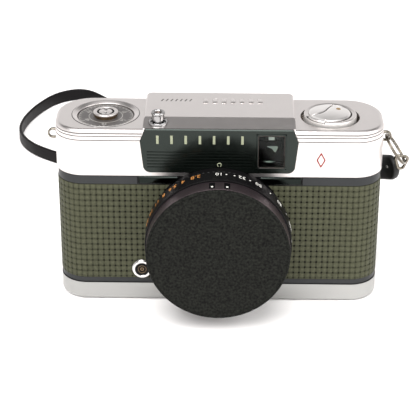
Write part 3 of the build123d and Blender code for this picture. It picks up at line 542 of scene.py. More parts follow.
def make_strap():
    """Flat leather strap that stands on its edge, a little thicker in the middle of its width."""
    line = route_line(STRAP_ROUTE)
    half_w, half_t = STRAP_W / 2 * MM, STRAP_T / 2 * MM
    section = []
    corners = [(-half_t, -half_w), (half_t, -half_w), (half_t, half_w), (-half_t, half_w)]
    for t, w in rounded([(c[0] / MM, c[1] / MM) for c in corners], 0.55, 3, closed=True):
        section.append((t * MM, w * MM))
    bm = bmesh.new()
    rows = []
    for i, p in enumerate(line):
        along = (line[min(i + 1, len(line) - 1)] - line[max(i - 1, 0)]).normalized()
        side = Vector((0, 0, 1)).cross(along).normalized()
        up = along.cross(side)
        rows.append([bm.verts.new(p + side * t + up * w) for t, w in section])
    skin(bm, rows, ends=True)
    bmesh.ops.recalc_face_normals(bm, faces=bm.faces)
    mesh = bpy.data.meshes.new("strap_band")
    bm.to_mesh(mesh)
    bm.free()
    strap = add_mesh("strap_band", mesh, "camera_body", "strap", ("wrist_strap",), 50)


# ---- coverings ---------------------------------------------------------------------------
PITCH_ALONG, PITCH_UP = 1.94, 2.09
PIT_DEPTH = 0.36
LINE_DEPTH = 0.07
# places within one cell, counted from the middle of a line, and whether they lie in the line
CELL = [(-0.19, False), (-0.11, True), (0.11, True), (0.19, False), (0.5, False)]


def stations(low, high, phase, pitch):
    """Positions across the covering between two limits, each with its kind in the grain.

    A limit of 0 is the middle of the back, where two halves meet in a line of the grain.
    """
    if low == 0.0:
        out = [(0.0, "line")]
    else:
        out = [(low, "edge"), (low + 0.05, "rim"), (low + 0.35, "cell")]
    for n in range(int((low - phase) / pitch) - 1, int((high - phase) / pitch) + 2):
        for part, in_line in CELL:
            place = phase + (n + part) * pitch
            if low + (0.05 if low == 0.0 else 0.5) < place < high - 0.5:
                kind = "line" if in_line else "top" if part == 0.5 else "cell"
                out.append((place, kind))
    return out + [(high - 0.35, "cell"), (high - 0.05, "rim"), (high, "edge")]


def grain_of(along, up, fade):
    """How far a point of the grain lies in, and how much painted shade it gets, from its two kinds."""
    # painted shade: full at the covering's edges and in the pits, most of it along the rims, some in the
    # lines, a little in the cells and none on the cell tops
    if "edge" in (along, up):
        return 0.5, 1.0
    if "rim" in (along, up):
        return 0.14, 0.9
    # painted light: fade takes up to half of the painted shade off the pits
    if along == "line" and up == "line":
        return PIT_DEPTH, 1.0 - 0.5 * fade
    if "line" in (along, up):
        return LINE_DEPTH, 0.38
    return (0.0 if "top" in (along, up) else 0.02), (0.0 if along == up == "top" else 0.10)


def make_covering(name, side, back, start, end, low, high, phase, node, drop=None, fade_from=None):
    """Covering with a square grain: fine lines both ways and a small pit at each crossing.

    It follows the outline from start to end. drop says which faces are left out, as a function
    of a point. Each point carries its painted shade in a float layer. From fade_from on along the
    outline the pits get paler: painted light that reaches into them towards the outer corners.
    """
    at, _ = plan_path(side, back)
    bm = bmesh.new()
    # float layer of painted shade for each point of the grain
    grain_shade = bm.verts.layers.float.new("grain_shade")
    rows = []
    tall = stations(low, high, phase[1], PITCH_UP)
    for length, along in stations(start, end, phase[0], PITCH_ALONG):
        fade = 0.0 if fade_from is None else max(0.0, min(1.0, (length - fade_from) / 14.0))
        row = []
        for z, up in tall:
            inset, shade = grain_of(along, up, fade)
            place, _ = at(length, inset)
            vert = bm.verts.new((place.x, place.y, z))
            vert[grain_shade] = shade
            row.append(vert)
        rows.append(row)
    for first, second in zip(rows, rows[1:]):
        for k in range(len(tall) - 1):
            corners = [first[k], second[k], second[k + 1], first[k + 1]]
            middle = sum((v.co for v in corners), Vector()) / 4
            if drop is None or not drop(middle):
                bm.faces.new(corners)
    loose = [v for v in bm.verts if not v.link_faces]
    bmesh.ops.delete(bm, geom=loose, context="VERTS")
    body = "back" if back else "camera_body"
    add_piece(name, bm, body, "grained", (node,) if node else (), angle=24)


def hides_under_lens(point):
    """Points of the left front covering that the lens board or the flash socket covers."""
    under_board = hypot(point.x, point.z - LENS_Z) < 21.8
    under_socket = hypot(point.x - SYNC.x, point.z - SYNC.z) < 3.0 and point.y < 0
    return under_board or under_socket


FRONT_PHASE, BACK_PHASE = (0.6, 0.9), (0.0, 0.9)


def make_coverings():
    """Both front coverings and the back covering, on the CAD skins' places."""
    for side, node in ((-1, "front_skin_left"), (1, "front_skin_right")):
        _, corner = plan_path(side)
        end = corner + SKIN_HIGH.y + HALF_T - FRONT_R
        make_covering(node.replace("skin", "covering"), side, False, 7.4, end, SKIN_LOW.z, SKIN_HIGH.z,
                      FRONT_PHASE, node, hides_under_lens, 34.0)
    for side in (-1, 1):
        _, corner = plan_path(side, True)
        end = corner + HALF_T - BACK_R - BACK_LOW.y
        name = "back_covering_left" if side < 0 else "back_covering_right"
        make_covering(name, side, True, 0.0, end, BACK_LOW.z, BACK_HIGH.z, BACK_PHASE,
                      "back_skin" if side < 0 else None)


# ---- turned and pierced pieces --------------------------------------------------------------
def turned_piece(name, profiles, body, material, replaces=(), axis="Z", at=(0, 0, 0), steps=96):
    """A piece made of one or more closed profiles turned about an upright or a lens-wise axis."""
    bm = bmesh.new()
    for profile in profiles:
        join(bm, turned(profile, steps, axis))
    add_piece(name, bm, body, material, replaces, at=at)


def circle_points(radius, steps=48, centre=(0.0, 0.0)):
    """Points round a circle in X and Y."""
    return [(centre[0] + radius * cos(2 * pi * k / steps), centre[1] + radius * sin(2 * pi * k / steps))
            for k in range(steps)]


def pierced_plate(loops, low, high, bevel=0.0):
    """A flat plate with holes, in X and Y: the first loop is its outline, the others are holes."""
    curve = bpy.data.curves.new("plate", "CURVE")
    curve.dimensions = "2D"
    curve.fill_mode = "BOTH"
    curve.extrude = (high - low) / 2 - bevel
    curve.bevel_depth = bevel
    curve.bevel_resolution = 2
    curve.offset = -bevel
    for loop in loops:
        spline = curve.splines.new("POLY")
        spline.points.add(len(loop) - 1)
        for point, place in zip(spline.points, loop):
            point.co = (place[0], place[1], 0, 1)
        spline.use_cyclic_u = True
    bm = drawn(curve)
    bmesh.ops.remove_doubles(bm, verts=bm.verts, dist=1e-4)
    bmesh.ops.translate(bm, verts=bm.verts, vec=(0, 0, (low + high) / 2))
    return bm


def to_front(bm):
    """Turns a flat part from X and Y to X and Z, with its top towards the lens side."""
    for vert in bm.verts:
        x, y, z = vert.co
        vert.co = (x, -z, y)
    return bm


# ---- frame counter ---------------------------------------------------------------------------
def make_counter():
    """Bezel, dial marks and setting knob of the frame counter."""
    at = (COUNTER.x, COUNTER.y, 0)
    bezel = rounded([(1.56, 62.1), (10.9, 62.1), (10.9, 63.6), (11.36, 63.6), (11.36, 64.93), (9.66, 64.25),
                     (9.66, 62.7), (1.56, 62.7)], [0, 0, 0, 0, 0.3, 0.15, 0.1, 0], closed=True)
    turned_piece("counter_bezel", [bezel], "camera_body", "satin_chrome",
                 ("counter_cup",), at=at, steps=128)
    turned_piece("counter_bezel_line", [[(11.33, 64.55), (11.5, 64.55), (11.5, 64.73), (11.33, 64.8)]],
                 "camera_body", "black_fill", at=at, steps=128)
    turned_piece("counter_dial_lines", [[(5.55, 63.78), (5.75, 63.78), (5.75, 63.83), (5.55, 63.83)],
                                        [(8.95, 63.78), (9.1, 63.78), (9.1, 63.83), (8.95, 63.83)]],
                 "counter", "dial_mark", at=at)
    marks = bmesh.new()
    for i in range(36):
        turn = Matrix.Rotation(-i * pi / 18, 4, "Z")
        tall = 1.15 if i % 6 == 0 else 0.6
        join(marks, block((-0.11, 8.85 - tall, 63.79), (0.11, 8.85, 63.83)), turn)
        if i % 6 == 0:
            figures = lettering("%d" % (i * 2), 1.9, 0.03)
            join(marks, figures, turn @ Matrix.Translation((0, 6.75, 63.82)))
    add_piece("counter_dial_marks", marks, "counter", "dial_mark", at=at)
    make_counter_knob(at)


def make_counter_knob(at):
    """Knob with a milled brass edge, a bright top, a dark groove and two key holes."""
    core = rounded([(0, 63.8), (3.68, 63.8), (3.68, 64.2), (3.9, 64.35), (3.9, 65.2), (2.95, 65.2),
                    (2.95, 65.05), (0, 65.05)], 0.05, closed=False)
    turned_piece("counter_knob_core", [core], "counter", "aged_brass", ("counter_knob",), at=at)
    milled = bmesh.new()
    for i in range(44):
        tooth = block((3.75, -0.17, 64.42), (4.16, 0.17, 65.14), 0.08, 1)
        join(milled, tooth, Matrix.Rotation(2 * pi * i / 44, 4, "Z"))
    add_piece("counter_knob_milling", milled, "counter", "aged_brass", at=at)
    rim = rounded([(2.92, 65.0), (4.18, 65.0), (4.18, 65.58), (2.92, 65.58)], [0, 0.1, 0.3, 0.25],
                  closed=True)
    turned_piece("counter_knob_rim", [rim], "counter", "satin_chrome", at=at)
    holes = [circle_points(0.58, 20, (0, side * 1.35)) for side in (-1, 1)]
    top = pierced_plate([circle_points(2.26, 64)] + holes, 65.06, 65.5, 0.06)
    add_piece("counter_knob_top", top, "counter", "satin_chrome", at=at)
    groove = turned([(0, 65.0), (2.94, 65.0), (2.94, 65.46), (2.28, 65.46), (2.28, 65.09), (0, 65.09)], 64)
    for side in (-1, 1):
        plug = turned([(0, 65.08), (0.57, 65.08), (0.57, 65.44), (0, 65.44)], 20)
        join(groove, plug, Matrix.Translation((0, side * 1.35, 0)))
    add_piece("counter_knob_groove", groove, "counter", "black_fill", at=at)


# ---- rewind knob -----------------------------------------------------------------------------
# the curved seam across the knob's top, and the arcs of both halves, relative to its middle
SEAM = [(1.33, 7.0), (0.45, 5.0), (-0.9, 2.3), (-1.5, 0.85), (-2.35, -0.45), (-3.6, -1.45), (-6.7, -2.6)]
TAB_FROM, TAB_TO = 206.0, 253.0
# the crank's dome ends at its hinge, at this angle and distance from the knob's middle
HINGE_TURN, HINGE_REACH = radians(50.0), 6.1


def dome_half(seam, radius, turn_from, turn_to, low, edge):
    """Half of the knob's shallow dome, between the seam and the rim, as a closed shell."""
    bm = bmesh.new()
    rows, steps = 18, 36
    grid = []
    for i in range(steps + 1):
        turn = radians(turn_from + (turn_to - turn_from) * i / steps)
        rim = Vector((radius * cos(turn), radius * sin(turn)))
        place = i / steps * (len(seam) - 1)
        k = min(int(place), len(seam) - 2)
        start = Vector(seam[k]).lerp(Vector(seam[k + 1]), place - k)
        row = []
        for j in range(rows + 1):
            t = 1 - (1 - j / rows) ** 1.6
            p = start.lerp(rim, t)
            fall = 0.5 * (p.length / 7.1) ** 2 + edge * max(0.0, (t - 0.9) / 0.1) ** 2
            fall += 0.12 * max(0.0, 1 - t / 0.04)
            row.append(bm.verts.new((p.x, p.y, 66.72 - fall)))
        grid.append(row)
    made = bmesh.ops.extrude_face_region(bm, geom=skin(bm, grid, closed=False))
    for item in made["geom"]:
        if isinstance(item, bmesh.types.BMVert):
            item.co.z = low
    bmesh.ops.remove_doubles(bm, verts=bm.verts, dist=1e-4)
    return bm


def smooth_line(points):
    """Catmull-Rom curve through points in the plane."""
    out, steps = [], 8
    for i in range(len(points) - 1):
        a, b = Vector(points[max(i - 1, 0)]), Vector(points[i])
        c, d = Vector(points[i + 1]), Vector(points[min(i + 2, len(points) - 1)])
        for k in range(steps):
            t = k / steps
            out.append(0.5 * (2 * b + (c - a) * t + (2 * a - 5 * b + 4 * c - d) * t * t
                              + (3 * b - a - 3 * c + d) * t * t * t))
    return out + [Vector(points[-1])]


def make_rewind():
    """Rewind knob: rim with its notch, the two halves of the dome, finger tab and rivet."""
    at = (REWIND.x, REWIND.y, 0)
    wall = rounded([(0, 61.25), (8.6, 61.25), (REWIND_R, 61.6), (REWIND_R, 65.68), (8.6, 65.68), (8.6, 64.95),
                    (7.25, 64.95), (7.25, 64.9), (0, 64.9)], [0, 0.1, 0.2, 0.08, 0, 0, 0, 0, 0])
    turned_piece("rewind_knob_wall", [wall], "rewind_head", "knob_chrome", ("rewind_knob",),
                 at=at, steps=128)
    profile = rounded([(7.3, 64.93), (8.62, 64.93), (8.62, 65.66), (8.84, 65.7), (8.8, 65.84), (8.5, 66.08),
                       (7.3, 65.9)], [0, 0, 0, 0.03, 0.06, 0.15, 0.2], closed=True)
    rim = turned(profile, 120, start=TAB_TO + 2.5 - 360, end=TAB_FROM - 6.0)
    fill_holes(rim)
    add_piece("rewind_knob_rim", rim, "rewind_head", "satin_chrome", at=at)
    pocket = turned([(0, 64.88), (7.32, 64.88), (7.32, 65.2), (0, 65.2)])
    notch = turned([(7.3, 64.97), (8.58, 64.97), (8.58, 65.5), (7.3, 65.5)], 24, start=TAB_FROM - 5.9,
                   end=TAB_TO + 2.4)
    fill_holes(notch)
    join(pocket, notch)
    add_piece("rewind_knob_pocket", pocket, "rewind_head", "black_fill", at=at)
    seam = smooth_line(SEAM)
    fixed = [p + Vector((-0.16, 0.14)) for p in seam]
    add_piece("rewind_dome", dome_half(fixed, 7.22, 80.0, 201.5, 65.1, 0.1), "rewind_head",
              "pearl_chrome", at=at)
    moving = [p + Vector((0.2, -0.16)) for p in seam]
    crank = dome_half(moving, 6.82, 77.5, -156.5, 65.3, 0.25)
    hinge = Vector((cos(HINGE_TURN), sin(HINGE_TURN), 0))
    whole = crank.verts[:] + crank.edges[:] + crank.faces[:]
    bmesh.ops.bisect_plane(crank, geom=whole, plane_co=hinge * HINGE_REACH, plane_no=hinge,
                           clear_outer=True)
    fill_holes(crank)
    add_piece("crank_dome", crank, "crank", "pearl_chrome", ("rewind_crank",), at=at)
    profile = rounded([(6.5, 65.55), (8.35, 65.55), (8.35, 66.2), (7.9, 66.5), (6.5, 66.4)],
                      [0, 0.1, 0.2, 0.3, 0], closed=True)
    tab = turned(profile, 24, start=TAB_FROM, end=TAB_TO)
    fill_holes(tab)
    add_piece("crank_finger_tab", tab, "crank", "pearl_chrome", at=at)
    head = rounded([(0, 66.75), (0.6, 66.72), (0.85, 66.6), (0.85, 66.3), (0, 66.3)], [0, 0.2, 0.15, 0, 0])
    turned_piece("crank_rivet", [head], "crank", "brass", at=(REWIND.x + 2.8, REWIND.y + 2.3, 0),
                 steps=32)


# ---- shutter release -------------------------------------------------------------------------
def make_release():
    """Collar and plunger of the shutter release, with its threaded hole."""
    at = (RELEASE.x, RELEASE.y, 0)
    collar = rounded([(2.42, 61.8), (3.22, 61.8), (3.22, 66.3), (3.06, 66.72), (2.72, 66.6), (2.42, 66.2)],
                     [0, 0, 0.25, 0.2, 0.15, 0], closed=True)
    turned_piece("release_collar_ring", [collar], "camera_body", "release_chrome",
                 ("release_collar",), at=at)
    plunger = rounded([(0, 50.6), (1.0, 50.6), (1.0, 61.0), (2.33, 61.0), (2.33, 66.1), (2.04, 66.2),
                       (2.04, 68.9), (2.3, 69.2), (2.3, 69.7), (2.1, 69.93), (1.5, 69.9), (1.27, 69.6),
                       (1.27, 67.2), (0, 67.2)], [0, 0, 0, 0, 0, 0, 0.25, 0.1, 0.1, 0.08, 0.05, 0.05, 0, 0])
    turned_piece("release_plunger", [plunger], "release", "release_chrome",
                 ("release_button",), at=at)
    turned_piece("release_gap", [[(2.36, 66.0), (2.7, 66.0), (2.7, 66.45), (2.36, 66.2)]], "camera_body",
                 "black_fill", at=at)
    thread = [(1.27, 67.3)]
    for i in range(7):
        thread += [(1.12, 67.45 + i * 0.3), (1.26, 67.6 + i * 0.3)]
    thread.append((1.28, 69.3))
    turned_piece("release_thread", [thread], "release", "dark_steel", at=at, steps=48)
    turned_piece("release_hole_floor", [[(0, 67.18), (1.2, 67.18), (1.2, 67.3), (0, 67.3)]], "release",
                 "black_fill", at=at, steps=48)


# ---- flash socket ----------------------------------------------------------------------------
def make_socket():
    """Coaxial flash socket: bright shell, black insulator and two brass contacts."""
    at = (SYNC.x, 0, SYNC.z)
    back = SYNC_HIGH.y
    shell = rounded([(2.35, back), (3.3, back), (3.3, -13.9), (3.46, -13.9), (3.46, -14.6), (3.3, -14.65),
                     (3.3, -15.18), (2.35, -15.18)], [0, 0, 0, 0, 0.15, 0.05, 0.3, 0.3], closed=True)
    turned_piece("sync_shell", [shell], "camera_body", "bright_chrome", ("sync_socket",),
                 "Y", at, 72)
    body = rounded([(0, back), (2.36, back), (2.36, -15.0), (1.47, -15.0), (1.47, -14.8), (0, -14.8)],
                   [0, 0, 0.1, 0.05, 0, 0])
    turned_piece("sync_insulator", [body], "camera_body", "black_fill", (), "Y", at, 72)
    tube = rounded([(1.3, -14.7), (1.46, -14.7), (1.46, -15.1), (1.3, -15.1)], [0, 0, 0.05, 0.05],
                   closed=True)
    pin = rounded([(0.34, -14.7), (0.66, -14.7), (0.66, -14.95), (0.34, -14.95)], [0, 0, 0.1, 0.08],
                  closed=True)
    turned_piece("sync_contacts", [tube, pin], "camera_body", "aged_brass", (), "Y", at, 48)


# ---- film speed ring, focus ring, cap --------------------------------------------------------
RING_MID = -24.9
# the two index squares on the focus ring and the dots on them: angles, and depths of their middles
INDEX_ANGLES = (-5.0, 6.8)
SQUARE_MID, DOT_MID = -32.0, -32.85
WHITE_FIGURES = [("10", 0.3), ("32", 18.3), ("50", 32.4), ("80", 55.0), ("200", 77.0)]
WHITE_DOTS = [5.9, 12.2, 24.8, 44.0, 66.0]
ORANGE_FIGURES = [("2.8", -18.0), ("4", -28.5), ("5.6", -38.3), ("8", -47.5), ("11", -56.2), ("16", -65.5),
                  ("22", -75.0)]


def make_ring_marks():
    """Figures on the film speed ring, and the two index squares on the focus ring."""
    white, orange = bmesh.new(), bmesh.new()
    for text, angle in WHITE_FIGURES:
        join(white, on_ring(lettering(text, 2.6, 0.04), angle, RING_MID, RING_R))
    for angle in WHITE_DOTS:
        dot = bmesh.new()
        bmesh.ops.create_cone(dot, cap_ends=True, segments=16, radius1=0.3, radius2=0.26, depth=0.05)
        join(white, on_ring(dot, angle, RING_MID - 0.1, RING_R))
    for i in range(7):
        tick = block((-0.1, -0.6, -0.02), (0.1, 0.6 if i % 3 else 1.2, 0.03))
        join(white, on_ring(tick, 90.0 + i * 6.0, RING_MID, RING_R))
    for text, angle in ORANGE_FIGURES:
        join(orange, on_ring(lettering(text, 2.9, 0.04), angle, RING_MID, RING_R))
    arc = [(0.62 * cos(radians(a)), 0.62 * sin(radians(a)), 0.02) for a in range(-60, 241, 12)]
    index = bmesh.new()
    add_tube(index, arc, 0.16, 8)
    add_piece("index_mark", to_front(index), "camera_body", "cream_paint",
              at=(0.1, -15.0, 52.8))
    add_piece("speed_figures_white", white, "film_speed", "white_paint")
    add_piece("speed_figures_orange", orange, "film_speed", "orange_paint")
    squares, dots = bmesh.new(), bmesh.new()
    for angle in INDEX_ANGLES:
        square = block((-0.95, -2.0, -0.05), (0.95, 2.0, 0.05), 0.03, 1)
        join(squares, on_ring(square, angle, SQUARE_MID, FOCUS_R, False))
        dot = block((-0.34, -0.42, 0.0), (0.34, 0.42, 0.08), 0.03, 1)
        join(dots, on_ring(dot, angle, DOT_MID, FOCUS_R, False))
    add_piece("focus_index_squares", squares, "focus", "deep_black")
    add_piece("focus_index_dots", dots, "focus", "white_paint")


def make_rings():
    """Film speed ring with a milled back edge, and the focus ring."""
    at = (0, 0, LENS_Z)
    back, front = RING_HIGH.y, RING_LOW.y
    outer = RING_R - 0.12
    body = rounded([(22.62, front), (outer, front), (outer, back), (22.62, back)], [0, 0.12, 0.2, 0],
                   closed=True)
    turned_piece("speed_ring_body", [body], "film_speed", "anodised", ("speed_ring",), "Y",
                 at, 180)
    milled = bmesh.new()
    for i in range(90):
        rib = block((-0.42, -0.4, -0.3), (0.42, 0.4, 0.0), 0.12, 1)
        join(milled, on_ring(rib, 4.0 * i, back - 0.6, RING_R))
    add_piece("speed_ring_milling", milled, "film_speed", "anodised")
    back, front = FOCUS_HIGH.y, FOCUS_LOW.y
    body = rounded([(22.62, front), (FOCUS_R, front), (FOCUS_R, back), (22.62, back)],
                   [0, 0.08, 0.1, 0], closed=True)
    turned_piece("focus_ring_body", [body], "focus", "focus_black", ("focus_ring",), "Y",
                 at, 180)


def make_cap():
    """Push-on cap with a softly dished face, a fine rim groove and its inner plug."""
    at = (0, 0, LENS_Z)
    front, back = CAP_LOW.y, -35.1
    face = rounded([(0, front + 0.12), (14.0, front + 0.05), (22.75, front + 0.02), (22.85, front + 0.2),
                    (23.05, front + 0.2), (23.15, front + 0.06), (FOCUS_R - 0.02, front + 0.3),
                    (FOCUS_R - 0.02, back), (0, back)], [0, 4, 0.06, 0.05, 0.05, 0.1, 0.3, 0.15, 0])
    plug = rounded([(21.0, back + 0.02), (22.28, back + 0.02), (22.28, -33.32), (21.0, -33.32)],
                   [0, 0, 0.3, 0.3], closed=True)
    turned_piece("cap_shell", [face, plug], "cap", "cap", ("lens_cap",), "Y", at, 160)


def make_light_cell():
    """Moulded beads of the clear ring over the light cell."""
    back, front = -30.2, -31.05
    bm = turned([(12.85, back), (21.05, back), (21.05, front), (12.85, front)], axis="Y")
    pitch = 1.15
    for row in range(-19, 20):
        for column in range(-19, 20):
            x = (column + (row % 2) / 2) * pitch
            z = row * pitch * 0.866
            if 13.5 < hypot(x, z) < 20.5:
                bead = bmesh.new()
                bmesh.ops.create_icosphere(bead, subdivisions=1, radius=0.56)
                join(bm, bead, Matrix.Translation((x, front + 0.06, z)))
    add_piece("cell_beads", bm, "camera_body", "bead_glass", ("cell_window",), angle=60,
              at=(0, 0, LENS_Z))


# ---- front of the top cover ------------------------------------------------------------------
def ribbon(side, low, high, inset, thick, start, until_y):
    """A thin band that follows the body's outline on one side, from a place on the front."""
    at, _ = plan_path(side)
    straight = HALF_W - FRONT_R
    corner = FRONT_R * pi / 2
    end = straight + corner + until_y + HALF_T - FRONT_R
    bm = bmesh.new()
    rows, steps = [], 72
    for i in range(steps + 1):
        length = start + (end - start) * i / steps
        inner, _ = at(length, inset + thick)
        outer, _ = at(length, inset)
        rows.append([bm.verts.new((p.x, p.y, z)) for p, z in
                     ((inner, low), (outer, low), (outer, high), (inner, high))])
    skin(bm, rows, ends=True)
    return bm


# heights of the cover's grooves, which get grey painted shade
GROOVE_HEIGHTS = (63.36, 62.4, 60.93)
# heights of the painted shadow line under the cover's edge, and of the dark seam above the base
SHADOW_AND_SEAM_HEIGHTS = ((47.84, 48.14), (6.77, 7.02))


def make_seams():
    """Grey painted shade in the cover's grooves, and dark lines along both edges of the bare strips: the
    upper one is painted shadow under the cover's overhanging edge, the lower one the seam above the base.
    """
    groove_shade, shadow_and_seam = bmesh.new(), bmesh.new()
    for side in (-1, 1):
        # grey painted shade laid over each of the cover's grooves
        for z in GROOVE_HEIGHTS:
            join(groove_shade, ribbon(side, z - 0.13, z + 0.13, -0.02, 0.06, 25.6, 1.95))
        for low, high in SHADOW_AND_SEAM_HEIGHTS:
            join(shadow_and_seam, ribbon(side, low, high, 0.0, 0.3, 0.0, 1.9))
    add_piece("cover_groove_shade", groove_shade, "camera_body", "grey_fill_and_groove_shade")
    add_piece("strip_shadow_and_seam", shadow_and_seam, "camera_body", "black_fill")
    gap = bmesh.new()
    for x in (-27.25, 27.9):
        join(gap, block((x - 0.2, -13.74, 44.85), (x + 0.2, -13.5, 48.0), 0.03, 1))
    add_piece("board_gaps", gap, "camera_body", "black_fill")


def make_board_trim():
    """Half round bright trim on the strip each side of the lens mount."""
    for side, outer in ((-1, -26.95), (1, 27.65)):
        bm = bmesh.new()
        profile = rounded([(-13.7, 44.95), (-14.2, 45.4), (-14.2, 47.4), (-13.7, 47.9)], 0.9, 6)
        rows = []
        for x in (side * 14.0, outer - side * 0.25, outer):
            pull = 0.25 if x == outer else 0.0
            rows.append([bm.verts.new((x, y + pull * (-13.7 - y) * 2, z)) for y, z in profile])
        skin(bm, rows, ends=True)
        name = "board_trim_left" if side < 0 else "board_trim_right"
        add_piece(name, bm, "camera_body", "black_chrome", angle=40)


def make_fascia():
    """Raised cream bars and the finder's rim on the dark front plate, and painted reflections inside the
    finder window.
    """
    bars = bmesh.new()
    for i in range(7):
        x = -20.4 + i * 4.68
        join(bars, block((x - 0.42, -15.06, 60.3), (x + 0.42, -14.95, 63.3), 0.04, 1))
    add_piece("fascia_bars", bars, "camera_body", "cream_paint")
    x, z = (BEZEL_LOW.x + BEZEL_HIGH.x) / 2, (BEZEL_LOW.z + BEZEL_HIGH.z) / 2
    half_x, half_z = (BEZEL_HIGH.x - BEZEL_LOW.x) / 2, (BEZEL_HIGH.z - BEZEL_LOW.z) / 2

    def frame_loop(inset, radius):
        corners = [(-half_x + inset, -half_z + inset), (half_x - inset, -half_z + inset),
                   (half_x - inset, half_z - inset), (-half_x + inset, half_z - inset)]
        return rounded(corners, radius, 5, closed=True)

    rim = to_front(pierced_plate([frame_loop(0.0, 1.0), frame_loop(0.5, 0.7)], 14.0, 15.28, 0.1))
    add_piece("finder_rim", rim, "camera_body", "fascia", ("finder_bezel",), at=(x, 0, z))
    lip = to_front(pierced_plate([frame_loop(0.52, 0.7), frame_loop(0.66, 0.6)], 14.4, 15.2, 0.05))
    add_piece("finder_lip", lip, "camera_body", "dark_steel", at=(x, 0, z))
    # painted reflections: a pale patch at the top of the finder window and a grey shape below it
    patch = block((x - 1.0, -13.9, z + half_z - 2.5), (x + 1.0, -13.75, z + half_z - 1.35), 0.07)
    corners = [(-1.9, 0.9), (2.1, 0.9), (1.9, 0.1), (1.3, -1.3), (0.7, -0.9), (0.1, 0.0)]
    join(patch, to_front(prism_of(rounded(corners, 0.4, 4, True), 12.2, 12.35, 0.04)),
         Matrix.Translation((x + 0.2, 0, z)))
    add_piece("finder_painted_reflection", patch, "camera_body", "painted_reflection_white")


def make_cover_marks():
    """Generic pressed and engraved marks on the raised middle, and the red lozenge in front."""
    raised = bmesh.new()
    for i in range(7):
        x = -4.8 + i * 3.1
        join(raised, block((x - 0.85, 4.4, HUMP - 0.05), (x + 0.85, 8.4, HUMP + 0.18), 0.17))
    add_piece("hump_marks", raised, "camera_body", "satin_chrome")
    cuts = bmesh.new()
    slant = Matrix.Rotation(radians(-20), 4, "Z")
    for i in range(7):
        x = -19.6 + i * 1.6
        join(cuts, block((x - 0.24, 6.0, HUMP - 0.04), (x + 0.24, 8.0, HUMP + 0.012), turn=slant))
    add_piece("hump_ticks", cuts, "camera_body", "grey_fill_and_groove_shade")
    lozenge = [(0, -2.9), (1.6, 0), (0, 2.9), (-1.6, 0)]
    inner = [(0, -2.0), (1.05, 0), (0, 2.0), (-1.05, 0)]
    mark = to_front(pierced_plate([rounded(lozenge, 0.5, 4, True), rounded(inner, 0.35, 4, True)],
                                  HALF_T + 0.18, HALF_T + 0.24, 0.015))
    add_piece("cover_lozenge", mark, "camera_body", "red_paint", at=(33.9, 0, 54.4))


# ---- lugs, rings and strap end ---------------------------------------------------------------
LUG_X, LUG_Z = 56.6, 57.3
RING_R_MEAN = 5.9
RING_DOWN = Vector((0.57, 0.0, -0.82)).normalized()


def make_lugs():
    """Pierced strap lugs with rounded edges."""
    bm = bmesh.new()
    for side in (-1, 1):
        outline = [(53.8, -1.88), (LUG_X - 0.6, -1.88)]
        outline += [(LUG_X + 1.88 * cos(radians(a)), 1.88 * sin(radians(a))) for a in range(-85, 90, 10)]
        outline += [(LUG_X - 0.6, 1.88), (53.8, 1.88)]
        outline = [(side * x, y) for x, y in (outline if side > 0 else outline[::-1])]
        plate = pierced_plate([outline, circle_points(1.22, 40, (side * LUG_X, 0))], -0.7, 0.7, 0.3)
        join(bm, to_front(plate), Matrix.Translation((0, 0, LUG_Z)))
    add_piece("lug_plates", bm, "camera_body", "nickel", ("strap_lugs",), angle=50)


def make_split_ring():
    """Split ring of two close turns of wire."""
    centre = Vector((LUG_X, 0, LUG_Z)) + RING_DOWN * RING_R_MEAN
    across = Vector((0, 1, 0)).cross(RING_DOWN)
    side = Vector((0, 1, 0))
    points = []
    steps = 144
    for i in range(steps + 1):
        turn = radians(35) + 4 * pi * i / steps
        cross_over = max(0.0, min(1.0, (i / steps - 0.46) / 0.08))
        shift = -0.27 + 0.54 * cross_over * cross_over * (3 - 2 * cross_over)
        points.append(centre + (RING_DOWN * cos(turn) + side * sin(turn)) * RING_R_MEAN + across * shift)
    bm = bmesh.new()
    add_tube(bm, points, 0.265, 10)
    add_piece("split_ring_coil", bm, "key_ring", "nickel", ("split_ring",), angle=50)


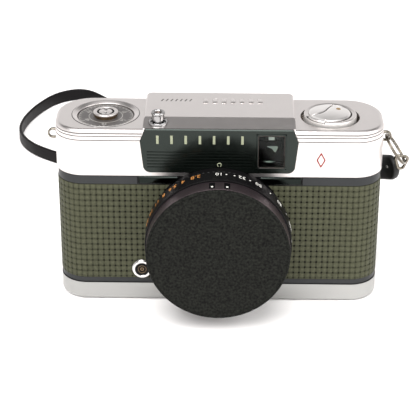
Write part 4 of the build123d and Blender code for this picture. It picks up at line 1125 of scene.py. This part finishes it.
def make_tab():
    """Moulded tab at the strap's ends, crowned on both faces, with its rivet."""
    low, high = span("strap_tab")
    along = Vector((-9.9, 15.6, -6.9)).normalized()
    normal = Vector((0, 0, 1)).cross(along).normalized()
    up = along.cross(normal)
    middle = (low + high) / 2 + along * 1.1
    half_l, half_w, half_t = 8.6, 4.5, 1.45
    bm = bmesh.new()
    steps, rows = 64, []
    levels = [(-1.0, 0.0), (-1.0, 0.7), (-0.9, 0.86), (-0.6, 0.96), (0.0, 1.0), (0.6, 0.96), (0.9, 0.86),
              (1.0, 0.7), (1.0, 0.0)]
    for height, size in levels:
        if size == 0.0:
            rows.append([bm.verts.new(middle + normal * height * half_t * 1.03)])
            continue
        row = []
        for k in range(steps):
            turn = 2 * pi * k / steps
            x = cos(turn) * half_w * size + (half_l - half_w) * (1 if cos(turn) > 0 else -1)
            point = middle + along * x + up * sin(turn) * half_w * size + normal * height * half_t
            row.append(bm.verts.new(point))
        rows.append(row)
    for first, second in zip(rows, rows[1:]):
        for k in range(steps):
            m = (k + 1) % steps
            if len(first) == 1:
                bm.faces.new([first[0], second[m], second[k]])
            elif len(second) == 1:
                bm.faces.new([first[k], first[m], second[0]])
            else:
                bm.faces.new([first[k], first[m], second[m], second[k]])
    add_piece("strap_end_tab", bm, "camera_body", "tab", ("strap_tab",), angle=50)
    rivet = bmesh.new()
    for side in (-1, 1):
        head = turned(rounded([(0, 0.3), (0.5, 0.2), (0.62, -0.2), (0, -0.2)], [0.1, 0.2, 0, 0]), 24)
        turn = (normal * side).to_track_quat("Z", "Y").to_matrix().to_4x4()
        place = (low + high) / 2 + normal * side * 1.42 + along * -3.4 + up * 0.5
        join(rivet, head, Matrix.Translation(place) @ turn)
    add_piece("tab_rivets", rivet, "camera_body", "steel")


# ---- carried-over CAD nodes --------------------------------------------------------------
# material, and the nodes that have it
CAD_FINISH = {
    "casting": "body_casting",
    "enamel": "lens_board shutter_case",
    "steel": "film_gate release_spring advance_wheel rewind_shaft meter_needle rewind_release_spring",
    "satin_chrome": "top_cover",
    "fascia": "fascia",
    "nickel": "finder_bezel sync_socket strap_lugs base_screws lock_bail split_ring triangle_ring",
    "window": "finder_window finder_objective",
    "deep_black": "finder_tunnel",
    "glass": "eyepiece_lens",
    "anodised": "eyepiece_ring sprocket lens_barrel speed_ring front_lens_cell",
    "bright_chrome": "counter_cup release_collar release_button lock_key rewind_release",
    "dial": "counter_dial",
    "brass": "counter_knob rewind_bush tripod_bush",
    "plastic": "takeup_spool meter_case",
    "brushed": "rewind_cup",
    "knob_chrome": "rewind_knob",
    "pearl_chrome": "rewind_crank",
    "focus_black": "focus_ring",
    "cap": "lens_cap",
    "bead_glass": "cell_window",
    "cell": "light_cell",
    "coated_glass": "front_element rear_element",
    "blued": "shutter_blade_left shutter_blade_right aperture_blade_left aperture_blade_right "
             "pressure_plate",
    "base_metal": "base_plate",
    "strip": "back_cover",
    "felt": "light_seals",
    "tab": "strap_tab",
    "grained": "front_skin_left front_skin_right back_skin",
    "strap": "wrist_strap",
}


def dress_cad_nodes():
    """Gives every CAD node its procedural finish."""
    for material, names in CAD_FINISH.items():
        for node in names.split():
            NODES[node].data.materials.clear()
            NODES[node].data.materials.append(M[material])


make_camera()
make_strap()
make_studio()
dress_cad_nodes()
make_coverings()
make_counter()
make_release()
make_socket()
make_rings()
make_ring_marks()
make_rewind()
make_cap()
make_light_cell()
make_seams()
make_board_trim()
make_fascia()
make_cover_marks()
make_lugs()
make_split_ring()
make_tab()
